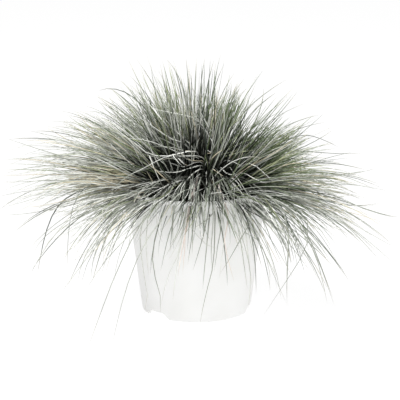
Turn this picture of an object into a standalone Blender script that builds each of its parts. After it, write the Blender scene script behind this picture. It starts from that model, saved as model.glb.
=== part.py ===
"""A potted blue fescue clump: nursery pot, potting soil, crown and leaf tufts.

The origin is the middle of the pot's foot, +Z is up and the front of the plant faces -Y.
"""
import math
import random

import bmesh
import bpy
from mathutils import Matrix, Vector

MM = 0.001
GAP = 0.3 * MM                      # air between pieces that rest on each other

# Pot: a 13 cm nursery container, moulded from thin plastic
POT_HEIGHT = 113.0 * MM
FOOT_RADIUS = 49.4 * MM             # outer radius of the wall where it meets the ground
WALL_TAPER = 0.126                  # how much the radius grows for each unit of height
WALL_THICKNESS = 1.3 * MM
LIP_REACH = 1.6 * MM                # how far the lip stands out from the wall
LIP_HEIGHT = 4.0 * MM
FOOT_ROUNDING = 0.9 * MM
FOOT_RING_WIDTH = 2.4 * MM
FLOOR_UNDERSIDE = 6.4 * MM          # the floor is raised inside the foot ring
FLOOR_THICKNESS = 1.3 * MM
POT_TURN_STEPS = 48

# Notches in the foot ring and drain holes in the floor
NOTCH_ANGLES = (-135.0, -12.0, 108.0)   # degrees from +X, the first at the front left
NOTCH_FOOT_WIDTH = 27.0 * MM
NOTCH_TOP_WIDTH = 17.0 * MM
NOTCH_HEIGHT = 5.5 * MM
NOTCH_CORNER = 2.0 * MM
NOTCH_DEPTH = 14.0 * MM             # of the cutter, along the pot's radius
DRAIN_HOLE_RADIUS = 4.5 * MM
DRAIN_HOLE_RING = 38.0 * MM         # the holes' distance from the pot's axis
DRAIN_HOLE_SIDES = 10
DRAIN_CUTTER_DEPTH = 5.0 * MM

# Soil and crown
SOIL_LEVEL = 104.5 * MM
SOIL_EDGE_DROP = 3.0 * MM           # the soil falls away a little towards the wall
CROWN_RADIUS = 53.0 * MM
CROWN_HEIGHT = 14.0 * MM
CROWN_EDGE = 2.0 * MM               # height of the crown's blunt edge
CROWN_ARC_POINTS = 5
SOIL_TURN_STEPS = 32

# Leaf tufts, set on the crown like the seeds of a sunflower
TUFT_COUNT = 54
TUFT_RING_RADIUS = 46.0 * MM
GOLDEN_ANGLE = math.pi * (3.0 - math.sqrt(5.0))
SHEATH_HEIGHT = 7.5 * MM
SHEATH_FOOT_RADIUS = 3.4 * MM
SHEATH_TOP_RADIUS = 4.5 * MM
LOCKS_PER_TUFT = 5
LOCK_SPREAD = 2.0                   # how much a tuft's locks fan out to fill the clump
TURN_JITTER = math.radians(2.0)

# How the leaves lean and bend, from the middle of the clump (0) to its edge (1)
START_LEAN = math.radians(58.0)     # from the vertical, at the clump's edge
SKY_SHARE = 1.25                    # spreads the leaves evenly over the whole dome
TIP_LEAN_GAIN = 1.20
TIP_DROOP = math.radians(32.0)
STEEPEST_TIP = math.radians(176.0)
HEART_BEND_POWER = 0.80             # a lower power bends a leaf sooner
EDGE_BEND_POWER = 0.50
EDGE_SHARE = 1.10                   # the outermost locks' share of the clump's radius
HEART_LENGTH = 104.0 * MM
EDGE_LENGTH = 168.0 * MM
GROWTH_POWER = 3.0                  # the leaves lengthen mostly near the clump's edge
LENGTH_JITTER = 0.10
SHORTEST_LOCK = 0.3                 # of its full length, where a lock is trimmed
TRIM_ROUNDS = 20
REACH_X = 180.0 * MM                # no leaf goes past these
REACH_Y = 168.0 * MM
TOP = 230.0 * MM
LOWEST_TIP = 5.0 * MM

# A lock's width at places along its length, as a share of the sheath sector that it grows
# from. The locks bend more towards the clump's edge, so they get more places there.
HEART_STATIONS = ((0.20, 0.70), (0.62, 0.72))
FLANK_STATIONS = ((0.13, 0.66), (0.40, 0.88), (0.72, 0.62))
EDGE_STATIONS = ((0.12, 0.64), (0.30, 0.84), (0.52, 0.84), (0.76, 0.55))
FLANK_STARTS = 0.45
EDGE_STARTS = 0.80
LOCK_WIDENING = 1.15
LOCK_FLATTENING = 0.62
PATH_STEPS = 24

SEED = 9

# Colours as sRGB shares, and finishes
WHITE_PLASTIC = ((0.93, 0.93, 0.92), 0.42)
DARK_COMPOST = ((0.17, 0.13, 0.10), 0.95)
OLD_SHEATHS = ((0.42, 0.37, 0.27), 0.90)
BLUE_GREEN_LEAF = ((0.55, 0.60, 0.54), 0.60)


def clear_scene():
    for thing in list(bpy.data.objects):
        bpy.data.objects.remove(thing, do_unlink=True)


def new_collection(name):
    collection = bpy.data.collections.new(name)
    bpy.context.scene.collection.children.link(collection)
    return collection


def new_material(name, finish):
    colour, roughness = finish
    material = bpy.data.materials.new(name)
    material.use_nodes = True
    shader = material.node_tree.nodes["Principled BSDF"]
    linear = [channel ** 2.2 for channel in colour]
    shader.inputs["Base Color"].default_value = (*linear, 1.0)
    shader.inputs["Roughness"].default_value = roughness
    shader.inputs["Metallic"].default_value = 0.0
    material.diffuse_color = (*linear, 1.0)
    return material


def new_object(name, mesh, collection, material=None, parent=None):
    piece = bpy.data.objects.new(name, mesh)
    collection.objects.link(piece)
    if material:
        mesh.materials.append(material)
    piece.parent = parent
    return piece


def turned_piece(name, profile, steps, collection, material, parent):
    """A solid turned about Z from a profile of (radius, height) points."""
    mesh = bpy.data.meshes.new(name)
    points = [(radius, 0.0, height) for radius, height in profile]
    edges = [(i, i + 1) for i in range(len(points) - 1)]
    mesh.from_pydata(points, edges, [])
    piece = new_object(name, mesh, collection, material, parent)
    screw = piece.modifiers.new("Turn", "SCREW")
    screw.axis = "Z"
    screw.steps = steps
    screw.render_steps = steps
    screw.use_merge_vertices = True
    screw.merge_threshold = 0.00001
    screw.use_smooth_shade = True
    return piece


def arc(centre, radius, start, end, count):
    """Points of a circular arc in the profile plane, angles in degrees from +X."""
    points = []
    for i in range(count):
        angle = math.radians(start + (end - start) * i / (count - 1))
        x = centre[0] + radius * math.cos(angle)
        z = centre[1] + radius * math.sin(angle)
        points.append((x, z))
    return points


# Pot

def outer_radius(height):
    return FOOT_RADIUS + WALL_TAPER * height


def inner_radius(height):
    return outer_radius(height) - WALL_THICKNESS


def pot_profile():
    floor_top = FLOOR_UNDERSIDE + FLOOR_THICKNESS
    lip_bottom = POT_HEIGHT - LIP_HEIGHT
    lip_radius = outer_radius(POT_HEIGHT) + LIP_REACH
    edge = LIP_REACH / 2
    lip_edge = arc((lip_radius - edge, POT_HEIGHT - edge), edge, 90, 0, 3)
    foot_centre = (FOOT_RADIUS - FOOT_ROUNDING, FOOT_ROUNDING)
    foot_edge = arc(foot_centre, FOOT_ROUNDING, 0, -90, 3)
    ring_inside = FOOT_RADIUS - FOOT_RING_WIDTH
    return [
        (0.0, floor_top),
        (inner_radius(floor_top) - FLOOR_THICKNESS, floor_top),
        (inner_radius(floor_top + FLOOR_THICKNESS), floor_top + FLOOR_THICKNESS),
        (inner_radius(POT_HEIGHT), POT_HEIGHT),
        *lip_edge,
        (lip_radius, lip_bottom + edge),
        (outer_radius(lip_bottom), lip_bottom),
        *foot_edge,
        (ring_inside, 0.0),
        (ring_inside, FLOOR_UNDERSIDE),
        (0.0, FLOOR_UNDERSIDE),
    ]


def notch_cutter(name, degrees, collection):
    """A block with a narrow top and rounded upper corners, laid across the foot ring."""
    depth = NOTCH_DEPTH
    solid = bmesh.new()
    bmesh.ops.create_cube(solid, size=1.0)
    for vert in solid.verts:
        top = vert.co.z > 0
        width = NOTCH_TOP_WIDTH if top else NOTCH_FOOT_WIDTH
        height = NOTCH_HEIGHT if top else 0.0
        vert.co = Vector((vert.co.x * depth, vert.co.y * width, height))
    # the block goes on below the ground at the same slope, so that it cuts cleanly
    slope = 0.5 * (NOTCH_FOOT_WIDTH - NOTCH_TOP_WIDTH) / NOTCH_HEIGHT
    for vert in solid.verts:
        if vert.co.z == 0.0:
            vert.co.z = -MM
            vert.co.y += math.copysign(slope * MM, vert.co.y)
    corners = [e for e in solid.edges if all(v.co.z > 0 for v in e.verts)]
    lengthwise = [e for e in corners if abs(e.verts[0].co.x - e.verts[1].co.x) > MM]
    bmesh.ops.bevel(
        solid, geom=lengthwise, offset=NOTCH_CORNER, segments=2, affect="EDGES", profile=0.5
    )
    mesh = bpy.data.meshes.new(name)
    solid.to_mesh(mesh)
    solid.free()
    cutter = new_object(name, mesh, collection)
    angle = math.radians(degrees)
    middle = FOOT_RADIUS - FOOT_RING_WIDTH / 2
    cutter.location = (middle * math.cos(angle), middle * math.sin(angle), 0.0)
    cutter.rotation_euler = (0.0, 0.0, angle)
    return cutter


def drain_hole_cutter(name, place, collection):
    solid = bmesh.new()
    bmesh.ops.create_cone(
        solid,
        cap_ends=True,
        segments=DRAIN_HOLE_SIDES,
        radius1=DRAIN_HOLE_RADIUS,
        radius2=DRAIN_HOLE_RADIUS,
        depth=DRAIN_CUTTER_DEPTH,
    )
    mesh = bpy.data.meshes.new(name)
    solid.to_mesh(mesh)
    solid.free()
    cutter = new_object(name, mesh, collection)
    cutter.location = place
    return cutter


def cut(piece, cutters):
    for cutter in cutters:
        cutter.hide_render = True
        cutter.display_type = "WIRE"
        boolean = piece.modifiers.new("Cut " + cutter.name, "BOOLEAN")
        boolean.operation = "DIFFERENCE"
        boolean.solver = "EXACT"
        boolean.object = cutter


def make_pot(collection, cutters, parent):
    material = new_material("white_plastic", WHITE_PLASTIC)
    pot = turned_piece("pot", pot_profile(), POT_TURN_STEPS, collection, material, parent)
    tools = []
    mid_floor = FLOOR_UNDERSIDE + FLOOR_THICKNESS / 2
    places = [Vector((0.0, 0.0, mid_floor))]
    for number, degrees in enumerate(NOTCH_ANGLES, start=1):
        tools.append(notch_cutter(f"notch_cutter_{number}", degrees, cutters))
        for turn in (0.0, 60.0):
            angle = math.radians(degrees + turn)
            across = Vector((math.cos(angle), math.sin(angle), 0.0)) * DRAIN_HOLE_RING
            places.append(across + Vector((0.0, 0.0, mid_floor)))
    for number, place in enumerate(places, start=1):
        tools.append(drain_hole_cutter(f"drain_cutter_{number}", place, cutters))
    cut(pot, tools)
    return pot


# Soil and crown

def soil_profile():
    """The plug stays clear of the pot's flat-sided inner wall by the usual gap."""
    flats = math.cos(math.pi / POT_TURN_STEPS)
    edge_level = SOIL_LEVEL - SOIL_EDGE_DROP
    floor_level = FLOOR_UNDERSIDE + FLOOR_THICKNESS + GAP
    corner_level = floor_level + 2.0 * FLOOR_THICKNESS
    return [
        (0.0, SOIL_LEVEL),
        (CROWN_RADIUS, SOIL_LEVEL),
        (inner_radius(edge_level) * flats - GAP, edge_level),
        (inner_radius(corner_level) * flats - GAP, corner_level),
        (inner_radius(floor_level) * flats - GAP - 2.0 * FLOOR_THICKNESS, floor_level),
        (0.0, floor_level),
    ]


def dome_radius():
    """Radius of the sphere that the crown's top is a cap of."""
    rise = CROWN_HEIGHT - CROWN_EDGE
    return (CROWN_RADIUS ** 2 + rise ** 2) / (2.0 * rise)


def crown_point(distance):
    """Height of the crown's top, and its tilt, at a distance from the axis."""
    sphere = dome_radius()
    top = SOIL_LEVEL + GAP + CROWN_HEIGHT
    height = top - sphere + math.sqrt(sphere ** 2 - distance ** 2)
    return height, math.asin(distance / sphere)


def crown_profile():
    foot = SOIL_LEVEL + GAP
    points = []
    for i in range(CROWN_ARC_POINTS):
        distance = CROWN_RADIUS * i / (CROWN_ARC_POINTS - 1)
        points.append((distance, crown_point(distance)[0]))
    return points + [(CROWN_RADIUS, foot), (0.0, foot)]


# Leaf tufts

def across(angle):
    """The level direction at an angle about the clump's axis."""
    return Vector((math.cos(angle), math.sin(angle), 0.0))


def leaning(angle, lean):
    """The direction that leans away from the vertical towards an angle."""
    return across(angle) * math.sin(lean) + Vector((0.0, 0.0, math.cos(lean)))


def lean_at_start(share):
    return START_LEAN * math.sin(0.5 * math.pi * min(share / EDGE_SHARE, 1.0))


def lean_at_tip(share):
    even = math.acos(max(-1.0, 1.0 - SKY_SHARE * share ** 2))
    return TIP_LEAN_GAIN * even + TIP_DROOP * share ** 3


def bend_power(share):
    outwards = min(share / EDGE_SHARE, 1.0) ** 2
    return HEART_BEND_POWER + (EDGE_BEND_POWER - HEART_BEND_POWER) * outwards


def lock_path(start, angle, share, length):
    """Points and headings along a lock, which bends outwards and down as it grows."""
    first = lean_at_start(share)
    last = max(first, min(lean_at_tip(share), STEEPEST_TIP))
    power = bend_power(share)
    points = [start.copy()]
    headings = [leaning(angle, first)]
    step = length / PATH_STEPS
    for i in range(PATH_STEPS):
        along = (i + 0.5) / PATH_STEPS
        lean = first + (last - first) * along ** power
        points.append(points[-1] + leaning(angle, lean) * step)
        along = (i + 1.0) / PATH_STEPS
        headings.append(leaning(angle, first + (last - first) * along ** power))
    return points, headings


def inside_reach(point):
    level = (point.x / REACH_X) ** 2 + (point.y / REACH_Y) ** 2
    return level <= 1.0 and LOWEST_TIP <= point.z <= TOP


def trimmed_length(start, angle, share, length):
    """The longest length, up to the one asked for, whose whole path is inside the reach."""
    shortest, longest = SHORTEST_LOCK * length, length
    if all(inside_reach(p) for p in lock_path(start, angle, share, length)[0]):
        return length
    for _ in range(TRIM_ROUNDS):
        middle = 0.5 * (shortest + longest)
        path = lock_path(start, angle, share, middle)[0]
        if all(inside_reach(p) for p in path):
            shortest = middle
        else:
            longest = middle
    return shortest


def stations_at(share):
    if share > EDGE_STARTS:
        return EDGE_STATIONS
    if share > FLANK_STARTS:
        return FLANK_STATIONS
    return HEART_STATIONS


def grow_lock(solid, sector, sheath_axis, angle, share, length):
    """Draw one face of the sheath's top out along a lock's path, to a point."""
    start = sector.calc_center_median()
    side = Vector((-math.sin(angle), math.cos(angle), 0.0))
    base = [loop.vert.co - start for loop in sector.loops]
    base_normal = side.cross(sheath_axis).normalized()
    sections = [(side.dot(b), base_normal.dot(b)) for b in base]
    points, headings = lock_path(start, angle, share, length)
    face = sector
    for along, width in stations_at(share):
        index = round(along * PATH_STEPS)
        normal = side.cross(headings[index]).normalized()
        face = bmesh.ops.extrude_discrete_faces(solid, faces=[face])["faces"][0]
        for loop, (sideways, thick) in zip(face.loops, sections):
            wide = side * sideways * width * LOCK_WIDENING
            deep = normal * thick * width * LOCK_FLATTENING
            loop.vert.co = points[index] + wide + deep
    tip = bmesh.ops.poke(solid, faces=[face])["verts"][0]
    tip.co = points[-1]


def tuft_mesh(name, distance, angle, chance):
    """One tuft, modelled about the point of the crown that it stands on."""
    height, tilt = crown_point(distance)
    share = distance / TUFT_RING_RADIUS
    foot_axis = leaning(angle, tilt)
    top_axis = leaning(angle, max(tilt, lean_at_start(share)))
    foot = across(angle) * distance + Vector((0.0, 0.0, height)) + foot_axis * GAP
    top = foot + (foot_axis + top_axis).normalized() * SHEATH_HEIGHT
    spin = Matrix.Rotation(chance.uniform(0.0, math.tau), 3, "Z")
    up = Vector((0.0, 0.0, 1.0))
    foot_turn = up.rotation_difference(foot_axis).to_matrix() @ spin
    top_turn = up.rotation_difference(top_axis).to_matrix() @ spin

    solid = bmesh.new()
    bmesh.ops.create_cone(
        solid,
        cap_ends=True,
        segments=LOCKS_PER_TUFT,
        radius1=SHEATH_FOOT_RADIUS,
        radius2=SHEATH_TOP_RADIUS,
        depth=SHEATH_HEIGHT,
    )
    for vert in solid.verts:
        flat = Vector((vert.co.x, vert.co.y, 0.0))
        vert.co = top + top_turn @ flat if vert.co.z > 0 else foot + foot_turn @ flat
    solid.normal_update()
    cap = max(solid.faces, key=lambda f: (f.calc_center_median() - foot).dot(top_axis))
    sectors = bmesh.ops.poke(solid, faces=[cap])["faces"]
    for sector in sectors:
        root = sector.calc_center_median()
        spread = root + (root - top) * (LOCK_SPREAD - 1.0) - (top - foot)
        lock_share = Vector((spread.x, spread.y)).length / TUFT_RING_RADIUS
        lock_angle = math.atan2(spread.y, spread.x) + chance.uniform(-1, 1) * TURN_JITTER
        growth = min(lock_share, EDGE_SHARE) ** GROWTH_POWER
        wish = HEART_LENGTH + (EDGE_LENGTH - HEART_LENGTH) * growth
        wish *= 1.0 - LENGTH_JITTER * chance.random()
        length = trimmed_length(root, lock_angle, lock_share, wish)
        grow_lock(solid, sector, top_axis, lock_angle, lock_share, length)
    bmesh.ops.translate(solid, verts=solid.verts, vec=-foot)
    bmesh.ops.triangulate(solid, faces=solid.faces)
    mesh = bpy.data.meshes.new(name)
    solid.to_mesh(mesh)
    solid.free()
    return mesh, foot


def make_tufts(collection, parent):
    material = new_material("blue_green_leaf", BLUE_GREEN_LEAF)
    chance = random.Random(SEED)
    for number in range(TUFT_COUNT):
        name = f"leaf_tuft_{number + 1:02d}"
        distance = TUFT_RING_RADIUS * math.sqrt((number + 0.5) / TUFT_COUNT)
        angle = number * GOLDEN_ANGLE
        mesh, foot = tuft_mesh(name, distance, angle, chance)
        tuft = new_object(name, mesh, collection, material, parent)
        tuft.location = foot


def main():
    clear_scene()
    collection = new_collection("potted_blue_fescue")
    cutters = new_collection("cutters")
    plant = bpy.data.objects.new("potted_blue_fescue", None)
    collection.objects.link(plant)
    make_pot(collection, cutters, plant)
    soil = new_material("dark_compost", DARK_COMPOST)
    sheaths = new_material("old_sheaths", OLD_SHEATHS)
    turned_piece("potting_soil", soil_profile(), SOIL_TURN_STEPS, collection, soil, plant)
    turned_piece("crown", crown_profile(), SOIL_TURN_STEPS, collection, sheaths, plant)
    make_tufts(collection, plant)


main()
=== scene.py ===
# %% [markdown]
# # A potted blue fescue
#
# Blue fescue is a small ornamental grass. A clump is a few thousand needle leaves, each
# about a millimetre wide, that grow from one low crown and fan out into a dome. This one
# stands in a white plastic nursery pot. The lesson dresses the finished solids of the part:
# it moulds the pot's thin wall with its small details, fills it with compost, grows the
# leaves and packs the crown with old leaf bases.

# %% The frame
import math

import bmesh
import bpy
import numpy as np
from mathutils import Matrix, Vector


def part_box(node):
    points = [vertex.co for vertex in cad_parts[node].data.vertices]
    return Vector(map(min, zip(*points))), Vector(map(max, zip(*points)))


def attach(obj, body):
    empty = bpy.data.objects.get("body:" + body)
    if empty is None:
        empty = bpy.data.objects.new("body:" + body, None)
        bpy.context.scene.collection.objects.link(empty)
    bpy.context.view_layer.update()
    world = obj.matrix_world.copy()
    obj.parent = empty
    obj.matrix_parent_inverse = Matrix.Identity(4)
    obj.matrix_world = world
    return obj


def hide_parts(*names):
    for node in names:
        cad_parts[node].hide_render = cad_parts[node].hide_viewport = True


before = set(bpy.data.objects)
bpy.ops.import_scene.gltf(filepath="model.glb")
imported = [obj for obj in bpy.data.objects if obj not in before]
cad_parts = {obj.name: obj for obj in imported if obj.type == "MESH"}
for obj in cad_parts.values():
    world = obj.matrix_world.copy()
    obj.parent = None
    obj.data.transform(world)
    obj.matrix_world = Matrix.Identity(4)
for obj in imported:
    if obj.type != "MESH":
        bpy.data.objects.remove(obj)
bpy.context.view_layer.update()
MM = 0.001

# %% [markdown]
# ## Driving sizes
#
# Everything is worked out from the frame's own boxes and a few sizes of the real plant.
# The pot gives the rim's height and radius, and the crown gives where the leaves root. The
# reach is how far leaves may go from the axis, so that the clump keeps to its solids.

# %% Driving sizes
pot_low, pot_high = np.array(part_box("pot"))
crown_low, crown_high = np.array(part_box("crown"))

RIM_HEIGHT = pot_high[2]
RIM_RADIUS = 0.5 * (pot_high[0] - pot_low[0])
WALL_TAPER = 0.126
LIP_REACH = 1.6 * MM
LIP_HEIGHT = 4.0 * MM
WALL_THICKNESS = 1.3 * MM
FOOT_RADIUS = RIM_RADIUS - LIP_REACH - WALL_TAPER * RIM_HEIGHT
SOIL_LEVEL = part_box("potting_soil")[1][2]
CROWN_RADIUS = 0.5 * (crown_high[0] - crown_low[0])
CROWN_TOP = crown_high[2]
CROWN_EDGE_TOP = SOIL_LEVEL + 2.3 * MM
LEAF_WIDTH = 1.02 * MM
REACH_X = 181.0 * MM
REACH_Y = 170.0 * MM
TOP = 230.0 * MM
LOWEST_TIP = 45.0 * MM
print("rim", round(RIM_RADIUS / MM, 1), "foot", round(FOOT_RADIUS / MM, 1), "mm")

# %% [markdown]
# ## Small helpers
#
# Colours are written as the hex values that a colour picker shows, and a shader wants them
# linear. A node helper adds one node, sets it and links it, so a material reads as a list
# of steps. The last helper puts a mesh in the scene with its finish, hands it to the part's
# one body and hides the frame's parts that it stands for.

# %% Helpers
def linear(hex_colour):
    """An sRGB hex colour as a linear RGBA value."""
    channels = [int(hex_colour[i:i + 2], 16) / 255.0 for i in (1, 3, 5)]
    curve = [c / 12.92 if c <= 0.04045 else ((c + 0.055) / 1.055) ** 2.4 for c in channels]
    return (*curve, 1.0)


def add_node(tree, kind, inputs=None, stops=(), **settings):
    """One node: its inputs by name or number, from values or sockets, and its settings."""
    node = tree.nodes.new(kind)
    for name, value in settings.items():
        setattr(node, name, value)
    for key, value in (inputs or {}).items():
        if isinstance(value, bpy.types.NodeSocket):
            tree.links.new(value, node.inputs[key])
        else:
            node.inputs[key].default_value = value
    for i, (position, colour) in enumerate(stops):
        ramp = node.color_ramp.elements
        stop = ramp[i] if i < len(ramp) else ramp.new(position)
        stop.position = position
        stop.color = linear(colour)
    return node


def new_finish(name):
    """A material with only its Principled shader, and the tree to add nodes to."""
    finish = bpy.data.materials.new(name)
    finish.use_nodes = True
    return finish, finish.node_tree, finish.node_tree.nodes["Principled BSDF"]


def in_scene(name, data):
    """A new object in the scene from a mesh, a light or a camera."""
    thing = bpy.data.objects.new(name, data)
    bpy.context.scene.collection.objects.link(thing)
    return thing


def smooth_mesh(name, points, faces):
    """A smooth shaded mesh from its points and faces."""
    mesh = bpy.data.meshes.new(name)
    mesh.from_pydata(points, [], faces)
    mesh.shade_smooth()
    return mesh


def dress(name, mesh, finish, slot, *stands_for):
    """Puts a mesh in the scene as a piece of the plant."""
    piece = in_scene(name, mesh)
    mesh.materials.append(finish)
    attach(piece, "root")
    if stands_for:
        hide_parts(*stands_for)
    print(name, len(mesh.polygons), "faces")


print("mid grey as a linear value:", round(linear("#808080")[0], 3))

# %% [markdown]
# ## The camera
#
# The clump is photographed from a little above its pot with a long lens. The pot's foot
# shows as a flat ellipse, which gives the camera's height over the ground, and the width
# of the lip gives its distance. Two functions go between the picture and the space: one
# gives the point that shows at a pixel, and one gives the pixel where a point shows.

# %% Camera
IMAGE_SIZE = 400
FOCAL_PIXELS = 1356.0
CAMERA_PLACE = Vector((3.3 * MM, -1192.0 * MM, 376.0 * MM))
CAMERA_PITCH = math.radians(13.05)
FOOT_SEEN = (196.4, 305.4)

lens = bpy.data.cameras.new("camera")
lens.sensor_width = 36.0
lens.lens = FOCAL_PIXELS / IMAGE_SIZE * lens.sensor_width
camera = in_scene("camera", lens)
camera.location = CAMERA_PLACE
camera.rotation_euler = (math.pi / 2 - CAMERA_PITCH, 0.0, 0.0)
bpy.context.scene.camera = camera


def seen_at(pixel_x, pixel_y, in_front):
    """The point that shows at a pixel, on the upright plane so far in front of the axis."""
    across = (pixel_x - IMAGE_SIZE / 2) / FOCAL_PIXELS
    up = (IMAGE_SIZE / 2 - pixel_y) / FOCAL_PIXELS
    ray = Vector((
        across,
        math.cos(CAMERA_PITCH) + up * math.sin(CAMERA_PITCH),
        -math.sin(CAMERA_PITCH) + up * math.cos(CAMERA_PITCH),
    ))
    reach = (-in_front - CAMERA_PLACE.y) / ray.y
    return CAMERA_PLACE + ray * reach


def seen_pixels(points):
    """Where points in metres show in the picture."""
    away = points - np.array(CAMERA_PLACE)
    level = away[..., 1] * math.cos(CAMERA_PITCH) - away[..., 2] * math.sin(CAMERA_PITCH)
    raised = away[..., 1] * math.sin(CAMERA_PITCH) + away[..., 2] * math.cos(CAMERA_PITCH)
    pixel_x = IMAGE_SIZE / 2 + FOCAL_PIXELS * away[..., 0] / level
    pixel_y = IMAGE_SIZE / 2 - FOCAL_PIXELS * raised / level
    return np.stack([pixel_x, pixel_y], axis=-1)


print("foot of the pot seen at", tuple(round(c / MM) for c in seen_at(*FOOT_SEEN, 0.0)), "mm")

# %% [markdown]
# ## The studio
#
# The photo is a bright cut-out with no shadow to speak of. A dim white world lights the
# plant from all sides. One small soft light stands high at the front left and gives the
# leaves' tops their shine, a wide one fills the front, and two weak ones brighten the
# sides of the pot. The floor glows just enough to show as white paper. A brighter floor
# would burn away the leaves in front of it that are thinner than a pixel.

# %% Studio
WORLD_STRENGTH = 0.21
FLOOR_SIZE = 6.0
FLOOR_DROP = 0.2 * MM
FLOOR_GLOW = 0.96
WHITE = (1.0, 1.0, 1.0, 1.0)
LIGHTS = [
    # name, place, aimed at, width in metres, watts
    ("high key", (-0.5, -0.5, 2.2), (0, 0, 0.1), 0.4, 60.0),
    ("front fill", (0.4, -2.2, 0.45), (0, 0, 0.08), 2.6, 20.9),
    ("right fill", (1.8, -0.9, 0.3), (0, 0, 0.05), 1.0, 9.0),
    ("left fill", (-1.8, -0.9, 0.3), (0, 0, 0.05), 1.0, 5.0),
]

world = bpy.data.worlds.new("white studio")
world.use_nodes = True
world.node_tree.nodes["Background"].inputs["Color"].default_value = WHITE
world.node_tree.nodes["Background"].inputs["Strength"].default_value = WORLD_STRENGTH
bpy.context.scene.world = world
bpy.context.scene.view_settings.view_transform = "Standard"

corners = [(-1, -1), (1, -1), (1, 1), (-1, 1)]
floor_points = [(x * FLOOR_SIZE, y * FLOOR_SIZE, -FLOOR_DROP) for x, y in corners]
floor_mesh = bpy.data.meshes.new("floor")
floor_mesh.from_pydata(floor_points, [], [(0, 1, 2, 3)])
floor_paint, tree, shader = new_finish("matt white paper floor")
shader.inputs["Base Color"].default_value = (0.1, 0.1, 0.1, 1.0)
shader.inputs["Roughness"].default_value = 1.0
shader.inputs["Specular IOR Level"].default_value = 0.0
shader.inputs["Emission Color"].default_value = WHITE
shader.inputs["Emission Strength"].default_value = FLOOR_GLOW
floor_mesh.materials.append(floor_paint)
floor = in_scene("floor", floor_mesh)

for name, place, aim, width, watts in LIGHTS:
    lamp = bpy.data.lights.new(name, "AREA")
    lamp.shape = "DISK"
    lamp.size = width
    lamp.energy = watts
    light = in_scene(name, lamp)
    light.location = place
    light.rotation_euler = (Vector(aim) - Vector(place)).to_track_quat("-Z", "Y").to_euler()
print("lights:", len(LIGHTS), "with", sum(row[-1] for row in LIGHTS), "W")

# %% [markdown]
# ## The pot's outline
#
# The pot is injection-moulded polypropylene. Its wall is one thin shell of even thickness,
# which tapers so that it leaves the mould, with a lip that stiffens the rim, a raised floor
# and a foot ring. It could be a cylinder with a solidify modifier, but then the lip and the
# foot would have no section of their own. So one closed outline of radius and height goes
# down the whole shell, with each edge rounded as the mould rounds it.

# %% Pot outline
FLOOR_UNDERSIDE = 6.4 * MM
FLOOR_THICKNESS = 1.3 * MM
FLOOR_TOP = FLOOR_UNDERSIDE + FLOOR_THICKNESS
FLOOR_RING = 20.0 * MM
FLOOR_FILLET = 2.0 * MM
FOOT_RING_WIDTH = 2.4 * MM
FOOT_ROUNDING = 0.9 * MM
LIP_ROUNDING = 0.8 * MM
LIP_FILLET = 0.5 * MM
RIM_BEVEL_DEPTH = 1.5 * MM
SMALL_BEVEL = 0.3 * MM
WALL_RINGS = 12


def wall_radius(height):
    """The radius of the wall's outside at a height."""
    return FOOT_RADIUS + WALL_TAPER * height


def arc(centre, radius, start, end, count):
    """Points of a circular arc in the outline's plane, with angles in degrees."""
    angles = np.radians(np.linspace(start, end, count))
    return [(centre[0] + radius * math.cos(a), centre[1] + radius * math.sin(a)) for a in angles]


def pot_outline():
    """Radius and height down the shell: floor, inside, rim, lip, outside, foot, underside."""
    inside = -WALL_THICKNESS
    lip_bottom = RIM_HEIGHT - LIP_HEIGHT
    bevel_start = RIM_HEIGHT - RIM_BEVEL_DEPTH
    fillet_middle = (wall_radius(FLOOR_TOP) + inside - FLOOR_FILLET, FLOOR_TOP + FLOOR_FILLET)
    lip_middle = RIM_RADIUS - LIP_ROUNDING
    outline = [(0.0, FLOOR_TOP), (FLOOR_RING, FLOOR_TOP)]
    outline += arc(fillet_middle, FLOOR_FILLET, -90, -7, 5)
    outline += [(wall_radius(bevel_start) + inside, bevel_start)]
    outline += [(wall_radius(RIM_HEIGHT) + inside + SMALL_BEVEL, RIM_HEIGHT - SMALL_BEVEL)]
    outline += arc((lip_middle, RIM_HEIGHT - LIP_ROUNDING), LIP_ROUNDING, 90, 0, 6)
    outline += arc((lip_middle, lip_bottom + LIP_ROUNDING), LIP_ROUNDING, 0, -90, 4)
    under_lip = (wall_radius(lip_bottom) + LIP_FILLET, lip_bottom - LIP_FILLET)
    outline += arc(under_lip, LIP_FILLET, 90, 173, 3)
    heights = np.linspace(lip_bottom - 3 * MM, FOOT_ROUNDING + 1 * MM, WALL_RINGS)
    outline += [(wall_radius(z), z) for z in heights]
    outline += arc((FOOT_RADIUS - FOOT_ROUNDING, FOOT_ROUNDING), FOOT_ROUNDING, 0, -90, 5)
    ring = FOOT_RADIUS - FOOT_RING_WIDTH
    outline += [(ring + SMALL_BEVEL, 0.0), (ring, SMALL_BEVEL)]
    outline += [(ring, FLOOR_UNDERSIDE - SMALL_BEVEL), (ring - SMALL_BEVEL, FLOOR_UNDERSIDE)]
    return outline + [(0.0, FLOOR_UNDERSIDE)]


print("points round the pot's section:", len(pot_outline()))

# %% [markdown]
# ## The pot's notches and drain holes
#
# Water leaves the pot through holes in its floor, and three notches in the foot ring let
# it run out. A notch has sloped sides and round upper corners, as a pocket in the mould
# does, so its cutter is a bevelled wedge. The outline is turned about the axis by a Screw
# modifier, and the cutters are taken away with booleans, as a mould maker would plan them.

# %% Pot shape
POT_STEPS = 160
NOTCH_ANGLES = (-135.0, -12.0, 108.0)
NOTCH_FOOT_WIDTH = 27.0 * MM
NOTCH_TOP_WIDTH = 17.0 * MM
NOTCH_HEIGHT = 5.5 * MM
NOTCH_DEPTH = 14.0 * MM
NOTCH_ROUNDING = 2.2 * MM
DRAIN_HOLE_RADIUS = 4.5 * MM
DRAIN_HOLE_RING = 38.0 * MM
DRAIN_PIN_LENGTH = 5.0 * MM
SHARP_ANGLE = math.radians(35)


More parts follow.
